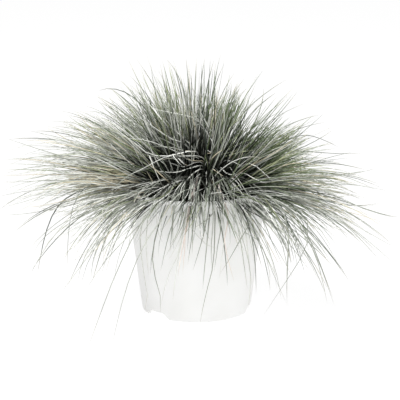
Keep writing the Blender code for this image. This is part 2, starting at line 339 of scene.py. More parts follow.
def turned(name, outline, steps):
    """An object whose outline is turned about Z."""
    mesh = bpy.data.meshes.new(name)
    points = [(radius, 0.0, height) for radius, height in outline]
    mesh.from_pydata(points, [(i, i + 1) for i in range(len(points) - 1)], [])
    piece = in_scene(name, mesh)
    screw = piece.modifiers.new("turn", "SCREW")
    screw.steps = steps
    screw.render_steps = steps
    screw.merge_threshold = 0.000001
    screw.use_merge_vertices = True
    return piece


def made_real(piece):
    """The mesh that an object's modifiers give, with the object taken away."""
    seen = piece.evaluated_get(bpy.context.evaluated_depsgraph_get())
    mesh = bpy.data.meshes.new_from_object(seen)
    bpy.data.objects.remove(piece)
    return mesh


def cutter(name, form, radius, angle, height):
    """A form made into an object at a radius, an angle and a height about the axis."""
    mesh = bpy.data.meshes.new(name)
    form.to_mesh(mesh)
    form.free()
    piece = in_scene(name, mesh)
    piece.location = (radius * math.cos(angle), radius * math.sin(angle), height)
    return piece


def notch_block(angle):
    """A block across the foot ring with sloped sides and round upper corners."""
    block = bmesh.new()
    bmesh.ops.create_cube(block, size=1.0)
    slope = 0.5 * (NOTCH_FOOT_WIDTH - NOTCH_TOP_WIDTH) / NOTCH_HEIGHT
    for vert in block.verts:
        height = NOTCH_HEIGHT if vert.co.z > 0 else -1.0 * MM
        half = 0.5 * NOTCH_FOOT_WIDTH - slope * height
        vert.co = Vector((vert.co.x * NOTCH_DEPTH, math.copysign(half, vert.co.y), height))
    upper = [e for e in block.edges if all(v.co.z > 0 for v in e.verts)]
    rails = [e for e in upper if abs(e.verts[0].co.x - e.verts[1].co.x) > MM]
    bmesh.ops.bevel(
        block, geom=rails, offset=NOTCH_ROUNDING, segments=6, affect="EDGES", profile=0.5
    )
    piece = cutter("notch block", block, FOOT_RADIUS - FOOT_RING_WIDTH / 2, angle, 0.0)
    piece.rotation_euler = (0.0, 0.0, angle)
    return piece


def drain_pin(radius, angle):
    """A pin through the floor, at a radius and an angle about the axis."""
    pin = bmesh.new()
    bmesh.ops.create_cone(
        pin, cap_ends=True, segments=28, depth=DRAIN_PIN_LENGTH,
        radius1=DRAIN_HOLE_RADIUS, radius2=DRAIN_HOLE_RADIUS,
    )
    return cutter("drain pin", pin, radius, angle, FLOOR_UNDERSIDE + FLOOR_THICKNESS / 2)


pot_shape = turned("pot shape", pot_outline(), POT_STEPS)
cutters = [notch_block(math.radians(degrees)) for degrees in NOTCH_ANGLES]
cutters.append(drain_pin(0.0, 0.0))
for degrees in NOTCH_ANGLES:
    for turn in (0.0, 60.0):
        cutters.append(drain_pin(DRAIN_HOLE_RING, math.radians(degrees + turn)))
for form in cutters:
    boolean = pot_shape.modifiers.new("cut", "BOOLEAN")
    boolean.operation = "DIFFERENCE"
    boolean.solver = "EXACT"
    boolean.object = form
bpy.context.view_layer.update()
pot_mesh = made_real(pot_shape)
for form in cutters:
    bpy.data.objects.remove(form)
pot_mesh.name = "nursery_pot"
pot_mesh.shade_smooth()
pot_mesh.set_sharp_from_angle(angle=SHARP_ANGLE)
print("notches:", len(NOTCH_ANGLES), "drain holes:", len(cutters) - len(NOTCH_ANGLES))

# %% [markdown]
# ## The pot's finish
#
# The finish is white polypropylene. The mould is spark-eroded to a fine satin, so the
# surface is smooth to the eye but spreads a highlight. Polypropylene's IOR is 1.49. The
# grain of such a mould is about 0.05 mm, too fine to show, so it is drawn at 0.6 mm, and a
# slow wave of tone stands for the unevenness of a thin moulded wall.

# %% White polypropylene
SPARK_GRAIN = 0.6 * MM
WALL_WAVE = 28.0 * MM

pot_finish, tree, shader = new_finish("moulded white polypropylene")
place = add_node(tree, "ShaderNodeTexCoord").outputs["Object"]
grain = add_node(
    tree, "ShaderNodeTexNoise", {"Vector": place, "Scale": 1.0 / SPARK_GRAIN, "Detail": 3.0}
)
wave = add_node(
    tree, "ShaderNodeTexNoise", {"Vector": place, "Scale": 1.0 / WALL_WAVE, "Detail": 1.5}
)
tone = add_node(
    tree, "ShaderNodeValToRGB", {"Fac": wave.outputs["Fac"]}, [(0.3, "#F0F0EE"), (0.7, "#F4F4F3")]
)
tree.links.new(tone.outputs["Color"], shader.inputs["Base Color"])
rough = add_node(tree, "ShaderNodeMapRange", {
    "Value": grain.outputs["Fac"], "From Min": 0.3, "From Max": 0.7,
    "To Min": 0.40, "To Max": 0.50,
})
tree.links.new(rough.outputs[0], shader.inputs["Roughness"])
bump = add_node(
    tree, "ShaderNodeBump",
    {"Height": grain.outputs["Fac"], "Strength": 0.10, "Distance": 0.05 * MM},
)
tree.links.new(bump.outputs["Normal"], shader.inputs["Normal"])
shader.inputs["IOR"].default_value = 1.49
dress("nursery_pot", pot_mesh, pot_finish, "pot_plastic", "pot")

# %% [markdown]
# ## Compost
#
# The pot is filled with peat-free compost, a dark mix of bark and fibre. Only a ring of it
# can be seen, between the crown and the wall, where it falls away a little. Crumbs could be
# scattered as small stones, but they would hide under the leaves, so the plug is turned in
# rings like the pot and its top is lifted by smooth noise for the lumps and by a random
# play of each point for the crumbs.

# %% Compost shape
SOIL_RINGS = 26
SOIL_STEPS = 128
SOIL_EDGE_DROP = 3.0 * MM
SOIL_GAP = 0.4 * MM
SOIL_SETTLED = 0.6 * MM
SIDE_RINGS = 6
LUMP_SIZE = 9.0 * MM
LUMP_HEIGHT = 0.5 * MM
CRUMB_HEIGHT = 0.35 * MM
soil_edge = wall_radius(SOIL_LEVEL - SOIL_EDGE_DROP) - WALL_THICKNESS - SOIL_GAP
rng = np.random.default_rng(20)


def smooth_noise(points, size, seed, octaves=3):
    """A smooth value in about -1 to 1 for each point, from sums of turned sine waves."""
    generator = np.random.default_rng(seed)
    total = np.zeros(len(points))
    weight = 1.0
    for _ in range(octaves):
        for _ in range(6):
            direction = generator.normal(size=points.shape[1])
            direction /= np.linalg.norm(direction)
            phase = generator.uniform(0, math.tau)
            total += weight * np.sin(points @ direction * math.tau / size + phase)
        weight *= 0.6
        size *= 0.5
    return total / 6.0


def turned_points(radii, heights, steps):
    """Rings of points about the axis, one ring for each radius and height."""
    turns = np.linspace(0.0, math.tau, steps, endpoint=False)
    return np.array([
        (r * math.cos(a), r * math.sin(a), z) for r, z in zip(radii, heights) for a in turns
    ])


def ring_faces(rings, steps):
    """The faces between rings of points, with the first and the last ring closed."""
    faces = []
    for here in range(0, (rings - 1) * steps, steps):
        for step in range(steps):
            after = (step + 1) % steps
            below = here + steps
            faces.append((here + step, below + step, below + after, here + after))
    last = (rings - 1) * steps
    return faces + [tuple(range(steps)), tuple(range(last + steps - 1, last - 1, -1))]


def soil_height(radius):
    """The compost's level, which falls away a little towards the wall."""
    past = np.clip((radius - CROWN_RADIUS) / (soil_edge - CROWN_RADIUS), 0.0, 1.0)
    return SOIL_LEVEL - SOIL_EDGE_DROP * past


floor_level = FLOOR_TOP + SOIL_GAP
ring_radii = np.linspace(0.02, 1.0, SOIL_RINGS) * soil_edge
ring_heights = soil_height(ring_radii)
side_heights = np.linspace(ring_heights[-1] - 4 * MM, floor_level + 3 * MM, SIDE_RINGS)
side_radii = wall_radius(side_heights) - WALL_THICKNESS - SOIL_GAP
radii = np.concatenate([ring_radii, side_radii, [side_radii[-1] - 3 * MM]])
heights = np.concatenate([ring_heights, side_heights, [floor_level]])
soil_points = turned_points(radii, heights, SOIL_STEPS)
lumps = smooth_noise(soil_points, LUMP_SIZE, 1) * LUMP_HEIGHT
crumbs = rng.uniform(-CRUMB_HEIGHT, CRUMB_HEIGHT, len(soil_points))
on_top = np.repeat(np.arange(len(radii)) < SOIL_RINGS - 1, SOIL_STEPS)
soil_points[on_top, 2] += (lumps + crumbs)[on_top] - SOIL_SETTLED
soil_mesh = smooth_mesh("compost", soil_points, ring_faces(len(radii), SOIL_STEPS))
print("compost from", round(floor_level / MM, 1), "to", round(SOIL_LEVEL / MM, 1), "mm")

# %% [markdown]
# ## The compost's finish
#
# Compost is almost black when it is moist. Its colour is broken up by fibre about 1 mm
# wide, its surface by crumbs of bark of about 2 mm, and it has no shine.

# %% Moist compost
BARK_CRUMB = 2.0 * MM
BARK_FIBRE = 1.0 * MM

compost, tree, shader = new_finish("moist bark compost")
place = add_node(tree, "ShaderNodeTexCoord").outputs["Object"]
bark = add_node(tree, "ShaderNodeTexVoronoi", {"Vector": place, "Scale": 1.0 / BARK_CRUMB})
fibre = add_node(
    tree, "ShaderNodeTexNoise", {"Vector": place, "Scale": 1.0 / BARK_FIBRE, "Detail": 5.0}
)
tone = add_node(
    tree, "ShaderNodeValToRGB", {"Fac": fibre.outputs["Fac"]},
    [(0.3, "#17120E"), (0.52, "#2C221A"), (0.7, "#4A3B2D"), (0.85, "#6B5A46")],
)
tree.links.new(tone.outputs["Color"], shader.inputs["Base Color"])
bump = add_node(
    tree, "ShaderNodeBump",
    {"Height": bark.outputs["Distance"], "Strength": 0.6, "Distance": 0.8 * MM},
)
tree.links.new(bump.outputs["Normal"], shader.inputs["Normal"])
shader.inputs["Roughness"].default_value = 0.95
shader.inputs["Specular IOR Level"].default_value = 0.2
dress("compost", soil_mesh, compost, "compost", "potting_soil")

# %% [markdown]
# ## Leaf paths
#
# A fescue leaf leaves the crown at a lean that grows from the middle of the clump to its
# edge, and then bends over under its own weight. So a leaf is a path with a lean from the
# vertical that goes from a first to a last value, and a compass direction that may swing a
# little. A leaf whose tip is known is a Bezier curve from root to tip instead. All leaves
# are worked out together as arrays, one row for each leaf.
#
# The test for the pot looks only at a path's points, about 8 mm apart and up to 21 mm in a
# long leaf. The wall is 1.3 mm thick, so some leaves still cut through it near the rim.

# %% Leaf paths
SEGMENTS = 11
ROOT_DEPTH = 1.0 * MM
SWING_POWER = 1.5
WALL_CLEARANCE = 0.8 * MM
SOIL_CLEARANCE = 0.5 * MM
along = np.linspace(0.0, 1.0, SEGMENTS + 1)


def crown_height(radius):
    """The top of the crown's dome at a distance from the axis."""
    rise = CROWN_TOP - CROWN_EDGE_TOP
    sphere = (CROWN_RADIUS ** 2 + rise ** 2) / (2 * rise)
    return CROWN_TOP - sphere + np.sqrt(sphere ** 2 - np.minimum(radius, CROWN_RADIUS) ** 2)


def on_crown(places):
    """Roots just under the crown's top, from places in plan that are pulled in to its edge."""
    radius = np.hypot(places[:, 0], places[:, 1])
    places = places * np.minimum(1.0, (CROWN_RADIUS - ROOT_DEPTH) / radius)[:, None]
    level = crown_height(np.hypot(places[:, 0], places[:, 1])) - ROOT_DEPTH
    return np.concatenate([places, level[:, None]], axis=1)


def tilted(heading, lean):
    """Unit directions that lean from the vertical towards a heading."""
    flat = np.sin(lean)
    return np.stack([flat * np.cos(heading), flat * np.sin(heading), np.cos(lean)], axis=-1)


def grown_paths(roots, turn, first, last, power, length, swing):
    """Paths of leaves as an array of (leaf, point, xyz)."""
    middle = 0.5 * (along[1:] + along[:-1])
    lean = first[:, None] + (last - first)[:, None] * middle[None, :] ** power[:, None]
    heading = turn[:, None] + swing[:, None] * middle[None, :] ** SWING_POWER
    moves = tilted(heading, lean) * (length / SEGMENTS)[:, None, None]
    walked = np.concatenate([np.zeros((len(roots), 1, 3)), np.cumsum(moves, axis=1)], axis=1)
    return roots[:, None, :] + walked


def bezier(start, one, two, end):
    """Points of cubic curves as an array of (leaf, point, xyz)."""
    t = along[None, :, None]
    curve = (1 - t) ** 3 * start[:, None, :] + 3 * t * (1 - t) ** 2 * one[:, None, :]
    return curve + 3 * t ** 2 * (1 - t) * two[:, None, :] + t ** 3 * end[:, None, :]


def share_in_reach(paths):
    """How much of each path, from its root, stays inside the clump's reach."""
    level = (paths[:, :, 0] / REACH_X) ** 2 + (paths[:, :, 1] / REACH_Y) ** 2
    inside = (level <= 1.0) & (paths[:, :, 2] <= TOP) & (paths[:, :, 2] >= LOWEST_TIP)
    unbroken = np.cumprod(inside, axis=1)
    return (unbroken.sum(axis=1) - 1) / SEGMENTS


def clears_pot(paths):
    """Whether a path's points keep out of the pot's wall and the compost."""
    radius = np.hypot(paths[:, :, 0], paths[:, :, 1])
    height = paths[:, :, 2]
    wall = wall_radius(height)
    in_wall = height < RIM_HEIGHT + WALL_CLEARANCE
    in_wall &= radius < wall + LIP_REACH + WALL_CLEARANCE
    in_wall &= radius > wall - WALL_THICKNESS - WALL_CLEARANCE
    in_soil = (height < soil_height(radius) + SOIL_CLEARANCE) & (radius < soil_edge)
    return ~(in_wall | in_soil)[:, 1:].any(axis=1)


print("crown from", round(CROWN_EDGE_TOP / MM, 1), "to", round(CROWN_TOP / MM, 1), "mm")

# %% [markdown]
# ## A leaf's shape
#
# Under a lens the leaf is a needle: the blade is folded along its middle and rolled almost
# shut, so its section is a small oval with a groove on the upper side. It is widest in its
# lower half and runs out to a fine point. Hair curves would be quicker to make, but a mesh
# can carry the groove and be handed on, so one function sweeps that section along every
# path at once. Each point keeps two values for the finish: the leaf's own tint and how far
# along the leaf it is, which also sets how far up its painted shade reaches. A leaf that
# stands deeper in the clump has painted shade further up, so its second value is raised to
# a power, its shade.

# %% Leaf mesh
SECTION_ANGLES = np.radians([90.0, 150.0, 210.0, 270.0, 330.0, 30.0])
SECTION_ACROSS = np.cos(SECTION_ANGLES)
SECTION_FLATNESS = 0.75
GROOVE_FLOOR = 0.12
SECTION_DEEP = SECTION_FLATNESS * np.sin(SECTION_ANGLES)
SECTION_DEEP[0] = GROOVE_FLOOR
SIDES = len(SECTION_ANGLES)
TAPER_BLUNTNESS = 0.75
BASE_WIDTH, SWELLING = 0.82, 0.18
SWELLING_ENDS = 0.625
ROLL_PLAY = 0.4
TWIST_PLAY = 0.8
TINT_STRIP = 0.006


def leaf_sides(paths):
    """Unit vectors across and out of each leaf at every point."""
    ahead = np.gradient(paths, axis=1)
    ahead /= np.linalg.norm(ahead, axis=2, keepdims=True)
    chord = paths[:, -1] - paths[:, 0]
    across = np.stack([-chord[:, 1], chord[:, 0], np.zeros(len(chord))], axis=1)
    across += np.array([1e-6, 0.0, 0.0])
    across = np.repeat(across[:, None, :], paths.shape[1], axis=1)
    across -= ahead * (across * ahead).sum(axis=2, keepdims=True)
    across /= np.linalg.norm(across, axis=2, keepdims=True)
    return across, np.cross(ahead, across)


def leaf_faces(rings):
    """The faces of one leaf: its sides, its point and its closed root."""
    faces = []
    for here in range(0, (rings - 1) * SIDES, SIDES):
        for side in range(SIDES):
            after = (side + 1) % SIDES
            there = here + SIDES
            faces.append((here + side, here + after, there + after, there + side))
    end, tip = (rings - 1) * SIDES, rings * SIDES
    faces += [(end + side, end + (side + 1) % SIDES, tip) for side in range(SIDES)]
    return faces + [tuple(range(SIDES - 1, -1, -1))]


def random_twists(count):
    """How far each leaf is rolled at its root, and how far it turns up to its tip."""
    return np.stack([rng.normal(0, ROLL_PLAY, count), rng.normal(0, TWIST_PLAY, count)], axis=1)


def leaf_mesh(name, paths, widths, tints, twists, taper=5.0, shade=1.0, grown=1.0):
    """One closed mesh with a grooved, tapering needle along each path."""
    count, rings = len(paths), paths.shape[1] - 1
    across, out = leaf_sides(paths)
    t = np.linspace(0.0, 1.0, rings + 1)
    swell = BASE_WIDTH + SWELLING * np.sin(math.pi * np.minimum(t / SWELLING_ENDS, 1.0))
    half = 0.5 * widths[:, None] * ((1.0 - t ** taper) ** TAPER_BLUNTNESS * swell)[None, :rings]
    roll = (twists[:, 0][:, None] + twists[:, 1][:, None] * t[None, :rings])[:, :, None]
    flat = SECTION_ACROSS * np.cos(roll) - SECTION_DEEP * np.sin(roll)
    deep = SECTION_ACROSS * np.sin(roll) + SECTION_DEEP * np.cos(roll)
    body = paths[:, :rings, None, :]
    body = body + across[:, :rings, None, :] * (flat * half[:, :, None])[..., None]
    body = body + out[:, :rings, None, :] * (deep * half[:, :, None])[..., None]
    points = np.concatenate([body.reshape(count, rings * SIDES, 3), paths[:, -1:, :]], axis=1)
    per_leaf = rings * SIDES + 1
    one_leaf = leaf_faces(rings)
    faces = [
        tuple(corner + leaf * per_leaf for corner in face)
        for leaf in range(count) for face in one_leaf
    ]
    mesh = smooth_mesh(name, points.reshape(-1, 3), faces)

    on_path = np.append(np.repeat(t[:rings], SIDES), 1.0)
    strip = np.append(np.tile(SECTION_ACROSS, rings), 0.0) * TINT_STRIP
    point_tint = np.repeat(tints, per_leaf)
    # painted shade: the less grown a leaf is, the further along it stays in its painted shade
    in_light = np.minimum(on_path[None, :] * np.broadcast_to(grown, count)[:, None], 1.0)
    point_along = (in_light ** np.broadcast_to(shade, count)[:, None]).ravel()
    mesh.attributes.new("tint", "FLOAT", "POINT").data.foreach_set("value", point_tint)
    mesh.attributes.new("along", "FLOAT", "POINT").data.foreach_set("value", point_along)
    corners = np.empty(len(mesh.loops), dtype=np.int32)
    mesh.loops.foreach_get("vertex_index", corners)
    spread = np.stack([point_tint + np.tile(strip, count), point_along], axis=1)
    bake_map = mesh.uv_layers.new(name="OFBake")
    bake_map.data.foreach_set("uv", np.clip(spread[corners], 0.0, 1.0).astype(np.float32).ravel())
    return mesh


print("faces of a leaf:", len(leaf_faces(SEGMENTS)))

# %% [markdown]
# ## Leaf finish
#
# Blue fescue is blue because a thin bloom of wax covers a green leaf. The wax scatters
# light, so a waxed leaf is pale grey-blue and matt. Young leaves with little wax are olive
# green, and old ones dry to straw. The three kinds share one ramp, each with its own third
# from dark to pale, and a leaf's tint picks its place there. A leaf's lower third is painted
# near-black green, as painted shade for the shade of the other leaves over it. Its last few
# millimetres are often dry. Fine streaks run along it, because its veins show through the
# wax. They are a tenth of a millimetre wide, too fine to show, so they are drawn about as
# wide as the leaf and 15 mm long.

# %% Waxed leaf
YOUNG, WAXED, DRY = 0.0, 1 / 3, 2 / 3
KIND_SPAN = 0.31
# painted shade at the leaf's foot: full up to SHADED_START, gone by SHADED_END
SHADED_START = 0.14
SHADED_END = 0.46
DRY_TIP_START = 0.9
DRY_TIP_SHARE = 0.7
STREAKS_ACROSS = 60.0
STREAKS_ALONG = 9.0
STREAK_DARK, STREAK_PALE = 0.82, 1.12


def leaf_finish(name, kinds, shaded, tip):
    """A leaf's finish: the ramp of its kinds, streaked, with painted shade at the root and dry at
    the tip.
    """
    finish, tree, shader = new_finish(name)
    tint = add_node(tree, "ShaderNodeAttribute", attribute_name="tint").outputs["Fac"]
    place = add_node(tree, "ShaderNodeAttribute", attribute_name="along").outputs["Fac"]
    leaf = add_node(tree, "ShaderNodeValToRGB", {"Fac": tint}, kinds).outputs["Color"]
    across = add_node(tree, "ShaderNodeMath", {0: tint, 1: STREAKS_ACROSS}, operation="MULTIPLY")
    upward = add_node(tree, "ShaderNodeMath", {0: place, 1: STREAKS_ALONG}, operation="MULTIPLY")
    spot = add_node(
        tree, "ShaderNodeCombineXYZ", {"X": across.outputs[0], "Y": upward.outputs[0]}
    )
    streak = add_node(
        tree, "ShaderNodeTexNoise", {"Vector": spot.outputs[0], "Scale": 1.0, "Detail": 3.0}
    )
    strength = add_node(tree, "ShaderNodeMapRange", {
        "Value": streak.outputs["Fac"], "From Min": 0.3, "From Max": 0.7,
        "To Min": STREAK_DARK, "To Max": STREAK_PALE,
    })
    streaked = add_node(
        tree, "ShaderNodeVectorMath", {0: leaf, "Scale": strength.outputs[0]}, operation="SCALE"
    )
    # painted shade: the foot of the leaf is mixed to the shaded colour
    in_shade = add_node(tree, "ShaderNodeMapRange", {
        "Value": place, "From Min": SHADED_START, "From Max": SHADED_END,
        "To Min": 1.0, "To Max": 0.0,
    }, interpolation_type="SMOOTHSTEP")
    at_tip = add_node(tree, "ShaderNodeMapRange", {
        "Value": place, "From Min": DRY_TIP_START, "From Max": 1.0,
        "To Min": 0.0, "To Max": DRY_TIP_SHARE,
    })
    based = add_node(
        tree, "ShaderNodeMix",
        {0: in_shade.outputs[0], 6: streaked.outputs[0], 7: linear(shaded)}, data_type="RGBA",
    )
    tipped = add_node(
        tree, "ShaderNodeMix",
        {0: at_tip.outputs[0], 6: based.outputs[2], 7: linear(tip)}, data_type="RGBA",
    )
    tree.links.new(tipped.outputs[2], shader.inputs["Base Color"])
    shader.inputs["Roughness"].default_value = 0.5
    shader.inputs["IOR"].default_value = 1.42
    print(name, "has", len(tree.nodes), "nodes")
    return finish


waxed_leaf = leaf_finish(
    "waxed fescue leaf",
    [
        (0.0, "#2A391F"), (0.16, "#6A7A56"), (0.325, "#B4BA94"),
        (0.335, "#3A463D"), (0.50, "#A2A69B"), (0.66, "#F3F4EE"),
        (0.67, "#A0947A"), (0.84, "#D2C8AE"), (0.98, "#E9E0C6"), (1.0, "#D8CAC0"),
    ],
    # the painted shade's colour at the leaf's foot
    "#0E120A",
    "#CBC4AC",
)

# %% [markdown]
# ## Growing the clump
#
# The clump is built as it grows. Its shoots stand in tufts, set over the crown like the
# seeds of a sunflower, where the solids have them. Each tuft has a few locks, and a lock's
# leaves share a direction, a length and a colour, with a little play for each leaf. Leaves
# scattered one by one would be simpler, but they make an even ball. Locks give the outline
# its sprays and gaps, and let the eye see down into the dark between the tufts.

# %% Tufts and locks
TUFT_COUNT = 54
LOCKS_PER_TUFT = 6
LEAVES_PER_LOCK = 9
GOLDEN_ANGLE = math.pi * (3.0 - math.sqrt(5.0))
TUFT_RING_RADIUS = 46.0 * MM
rng = np.random.default_rng(106)

tuft_number = np.arange(TUFT_COUNT)
tuft_radius = TUFT_RING_RADIUS * np.sqrt((tuft_number + 0.5) / TUFT_COUNT)
tuft_angle = tuft_number * GOLDEN_ANGLE
lock_count = TUFT_COUNT * LOCKS_PER_TUFT
leaf_count = lock_count * LEAVES_PER_LOCK
lock_tuft = np.repeat(tuft_number, LOCKS_PER_TUFT)
leaf_lock = np.repeat(np.arange(lock_count), LEAVES_PER_LOCK)
leaf_tuft = lock_tuft[leaf_lock]


def play(in_tuft, in_lock, in_leaf):
    """A random value for each leaf, with a part shared by its tuft and a part by its lock."""
    return (
        rng.normal(0, in_tuft, TUFT_COUNT)[leaf_tuft]
        + rng.normal(0, in_lock, lock_count)[leaf_lock]
        + rng.normal(0, in_leaf, leaf_count)
    )


print("tufts:", TUFT_COUNT, "locks:", lock_count, "leaves to draw:", leaf_count)

# %% [markdown]
# ## Where the leaves root
#
# A tuft's locks stand in a ring about its middle. A leaf faces away from the parting, which
# is where the clump opens, and the nearer it roots to the axis the more it does so. In
# front and at the far left most of these leaves are left out, because leaves that are
# placed one by one take over there further down.

# %% Roots
LOCK_SPREAD = 2.6 * MM
LEAF_SPREAD = 0.9 * MM
PARTING = np.array([10.0, -3.6]) * MM
PARTED_WITHIN = 1.15
EDGE_SHARE = 1.10
FRONT_HEADING = math.radians(-105.0)
FRONT_FROM, FRONT_BLEND = 0.10, 0.15
FRONT_THINNING, FRONT_THINNING_POWER = 0.92, 0.7
LEFT_THINNING, LEFT_FROM, LEFT_BLEND, LEFT_OUTSIDE = 0.75, 0.85, 0.1, 0.6

lock_turn = rng.uniform(0, math.tau, TUFT_COUNT)[lock_tuft]
lock_turn = lock_turn + np.tile(np.arange(LOCKS_PER_TUFT), TUFT_COUNT) * math.tau / LOCKS_PER_TUFT
root = on_crown(np.stack([
    (tuft_radius * side(tuft_angle))[leaf_tuft]
    + LOCK_SPREAD * side(lock_turn)[leaf_lock] + rng.normal(0, LEAF_SPREAD, leaf_count)
    for side in (np.cos, np.sin)
], axis=1))
root_radius = np.hypot(root[:, 0], root[:, 1])
share = np.clip(root_radius / TUFT_RING_RADIUS, 0.0, EDGE_SHARE)
parted = np.clip(PARTED_WITHIN - root_radius / CROWN_RADIUS, 0.0, 1.0)
facing = np.arctan2(root[:, 1] - parted * PARTING[1], root[:, 0] - parted * PARTING[0])
fore = np.clip(np.cos(facing - FRONT_HEADING), 0.0, 1.0)
fore = fore * np.clip((share - FRONT_FROM) / FRONT_BLEND, 0.0, 1.0)
leftward = np.clip((-np.cos(facing) - LEFT_FROM) / LEFT_BLEND, 0.0, 1.0) * (share > LEFT_OUTSIDE)
thinning = np.maximum(FRONT_THINNING * fore ** FRONT_THINNING_POWER, LEFT_THINNING * leftward)
print("roots out to", round(root_radius.max() / MM, 1), "mm, left out:", round(thinning.sum()))

# %% [markdown]
# ## How the leaves lean and how long they are
#
# A leaf at the heart stands upright and one at the edge lies almost flat, and their tips
# would lie on a dome. The lean at the tip follows from the share of the sky that a leaf has
# for itself, with some droop at the edge. The clump isn't round: three slow waves about the
# axis make it longer on one side than on another.

# %% Leans and lengths
START_LEAN = math.radians(61.6)
SKY_SHARE = 1.203
TIP_DROOP = math.radians(16.6)
SIDE_TILT = math.radians(-2.3)
BACK_TILT = math.radians(20.0)
HEART_LENGTH = 125.0 * MM
EDGE_LENGTH = 134.2 * MM
GROWTH_POWER = 4.39
FRONT_SHORTER = 0.027
# waves about the axis, height of the wave, and heading of its crest in degrees
LOBES = [(1, -0.072, -178.6), (2, -0.080, 21.9), (3, 0.107, -14.6)]
# the plays that a tuft, a lock and a leaf have
LEAN_PLAY = (math.radians(8.97), math.radians(11.8), 0.0)
TURN_PLAY = (math.radians(9.0), math.radians(11.0), 0.0)
LENGTH_PLAY = (0.07, 0.09, 0.0)

shared_lean = play(*LEAN_PLAY)
shared_turn = play(*TURN_PLAY)
shared_length = 1.0 + play(*LENGTH_PLAY)
thinned = rng.uniform(0, 1, leaf_count) < thinning
first_lean = START_LEAN * np.sin(0.5 * math.pi * np.minimum(share / EDGE_SHARE, 1.0))
tip_lean = np.arccos(np.clip(1.0 - SKY_SHARE * share ** 2, -1.0, 1.0)) + TIP_DROOP * share ** 3
tip_lean = tip_lean + (SIDE_TILT * np.cos(facing) + BACK_TILT * np.sin(facing)) * share
growth = HEART_LENGTH + (EDGE_LENGTH - HEART_LENGTH) * share ** GROWTH_POWER
growth = growth * (1.0 - FRONT_SHORTER * np.maximum(0.0, -np.sin(facing)) * share)
growth = growth * (1.0 + sum(a * np.cos(n * (facing - math.radians(at))) for n, a, at in LOBES))
print("full lengths from", *np.round(np.quantile(growth, [0.0, 1.0]) / MM), "mm")

# %% [markdown]
# ## Drawing the leaves
#
# Each leaf now gets its own play of lean, turn, bend and length. Some old leaves droop far
# down at the edge, and a few strays cross the others. A leaf past the clump's reach is cut
# back, and one with a point in the pot's wall is drawn again with another direction.

# %% Drawn leaves
DRAWINGS = 12
DROOPER_SHARE, DROOPER_OUTSIDE = 0.402, 0.7
DROOPER_DROOP = (math.radians(10), math.radians(78.2))
DROOPER_LONGER = 1.15
STRAY_SHARE = 0.06
STRAY_TURN = math.radians(60)
STRAY_SHORTER = 0.75
LOOSE_HEART = 1.0
FOLLOWED_LEAN = 0.7
FIRST_PLAY, LAST_PLAY, OWN_TURN = math.radians(7), math.radians(13), math.radians(11)
MOST_FIRST_LEAN, MOST_LAST_LEAN = math.radians(80), math.radians(172)
LEAST_BEND = 0.6
UPRIGHT_LOOSENS = 0.35
HEART_POWER, EDGE_POWER_LOSS, POWER_PLAY, POWER_RANGE = 0.80, 0.35, 0.15, (0.4, 1.4)
SHORTEST, LENGTH_RANGE, LENGTH_SHAPE = 0.30, 0.621, (2.495, 2.644)
SWING_PLAY = math.radians(16)
LEAST_KEPT = 0.3

paths = np.zeros((leaf_count, SEGMENTS + 1, 3))
to_draw = np.arange(leaf_count)
for drawing in range(DRAWINGS):
    n = len(to_draw)
    part = share[to_draw]
    drooper = (rng.uniform(0, 1, n) < DROOPER_SHARE) & (part > DROOPER_OUTSIDE)
    stray = rng.uniform(0, 1, n) < STRAY_SHARE
    loose = 1.0 + LOOSE_HEART * np.maximum(0.0, 1.0 - part)
    first = first_lean[to_draw] + FOLLOWED_LEAN * shared_lean[to_draw]
    first = first + loose * rng.normal(0, FIRST_PLAY, n)
    first = np.clip(np.abs(first), 0.0, MOST_FIRST_LEAN)
    last = tip_lean[to_draw] + shared_lean[to_draw] + loose * rng.normal(0, LAST_PLAY, n)
    last = last + drooper * rng.uniform(*DROOPER_DROOP, n)
    last = np.clip(last, first * LEAST_BEND, MOST_LAST_LEAN)
    loosen = 1.0 / np.maximum(np.sin(first), UPRIGHT_LOOSENS)
    turn = shared_turn[to_draw] + rng.normal(0, OWN_TURN, n)
    turn = facing[to_draw] + loosen * turn + stray * rng.normal(0, STRAY_TURN, n)
    power = HEART_POWER - EDGE_POWER_LOSS * part ** 2 + rng.normal(0, POWER_PLAY, n)
    power = np.clip(power, *POWER_RANGE)
    own_length = SHORTEST + LENGTH_RANGE * rng.beta(*LENGTH_SHAPE, n)
    length = growth[to_draw] * shared_length[to_draw] * own_length
    length = length * np.where(drooper, DROOPER_LONGER, 1.0) * np.where(stray, STRAY_SHORTER, 1.0)
    swing = rng.normal(0, SWING_PLAY, n)
    trial = grown_paths(root[to_draw], turn, first, last, power, length, swing)
    length *= np.clip(share_in_reach(trial), LEAST_KEPT, 1.0)
    trial = grown_paths(root[to_draw], turn, first, last, power, length, swing)
    paths[to_draw] = trial
    to_draw = to_draw[~clears_pot(trial)]
    if len(to_draw) == 0:
        break
keep = np.setdiff1d(np.arange(leaf_count), to_draw)
keep = keep[~thinned[keep]]
print("leaves grown:", len(keep), "after drawings:", drawing + 1)

# %% [markdown]
# ## Kinds and tones
#
# The kinds of leaf come in patches, as whole locks are young, waxed or dry. There are more
# dry ones on the left, in front and where leaves droop at the right, and more young ones at
# the heart. A leaf at the heart is also painted darker, and its painted shade reaches further
# up, for the deep shade in the clump. A short leaf stands low among the others, so its painted
# shade reaches further along it than on a full-grown one. Leaves in front and at the sides
# get less painted shade.

# %% Kinds and tones
YOUNG_SHARE = 0.36
DRY_SHARE = 0.035
PATCH_SIZE = 70.0 * MM
DROOP_FROM, DROOP_RANGE = 40.0 * MM, 60.0 * MM
FULL_GROWN = 0.78
# the plays that a tuft, a lock and a leaf have
KIND_PLAY = (0.5, 0.8, 0.4)
TONE_PLAY = (0.08, 0.16, 0.24)
SHADE_PLAY = (0.15, 0.25, 0.2)
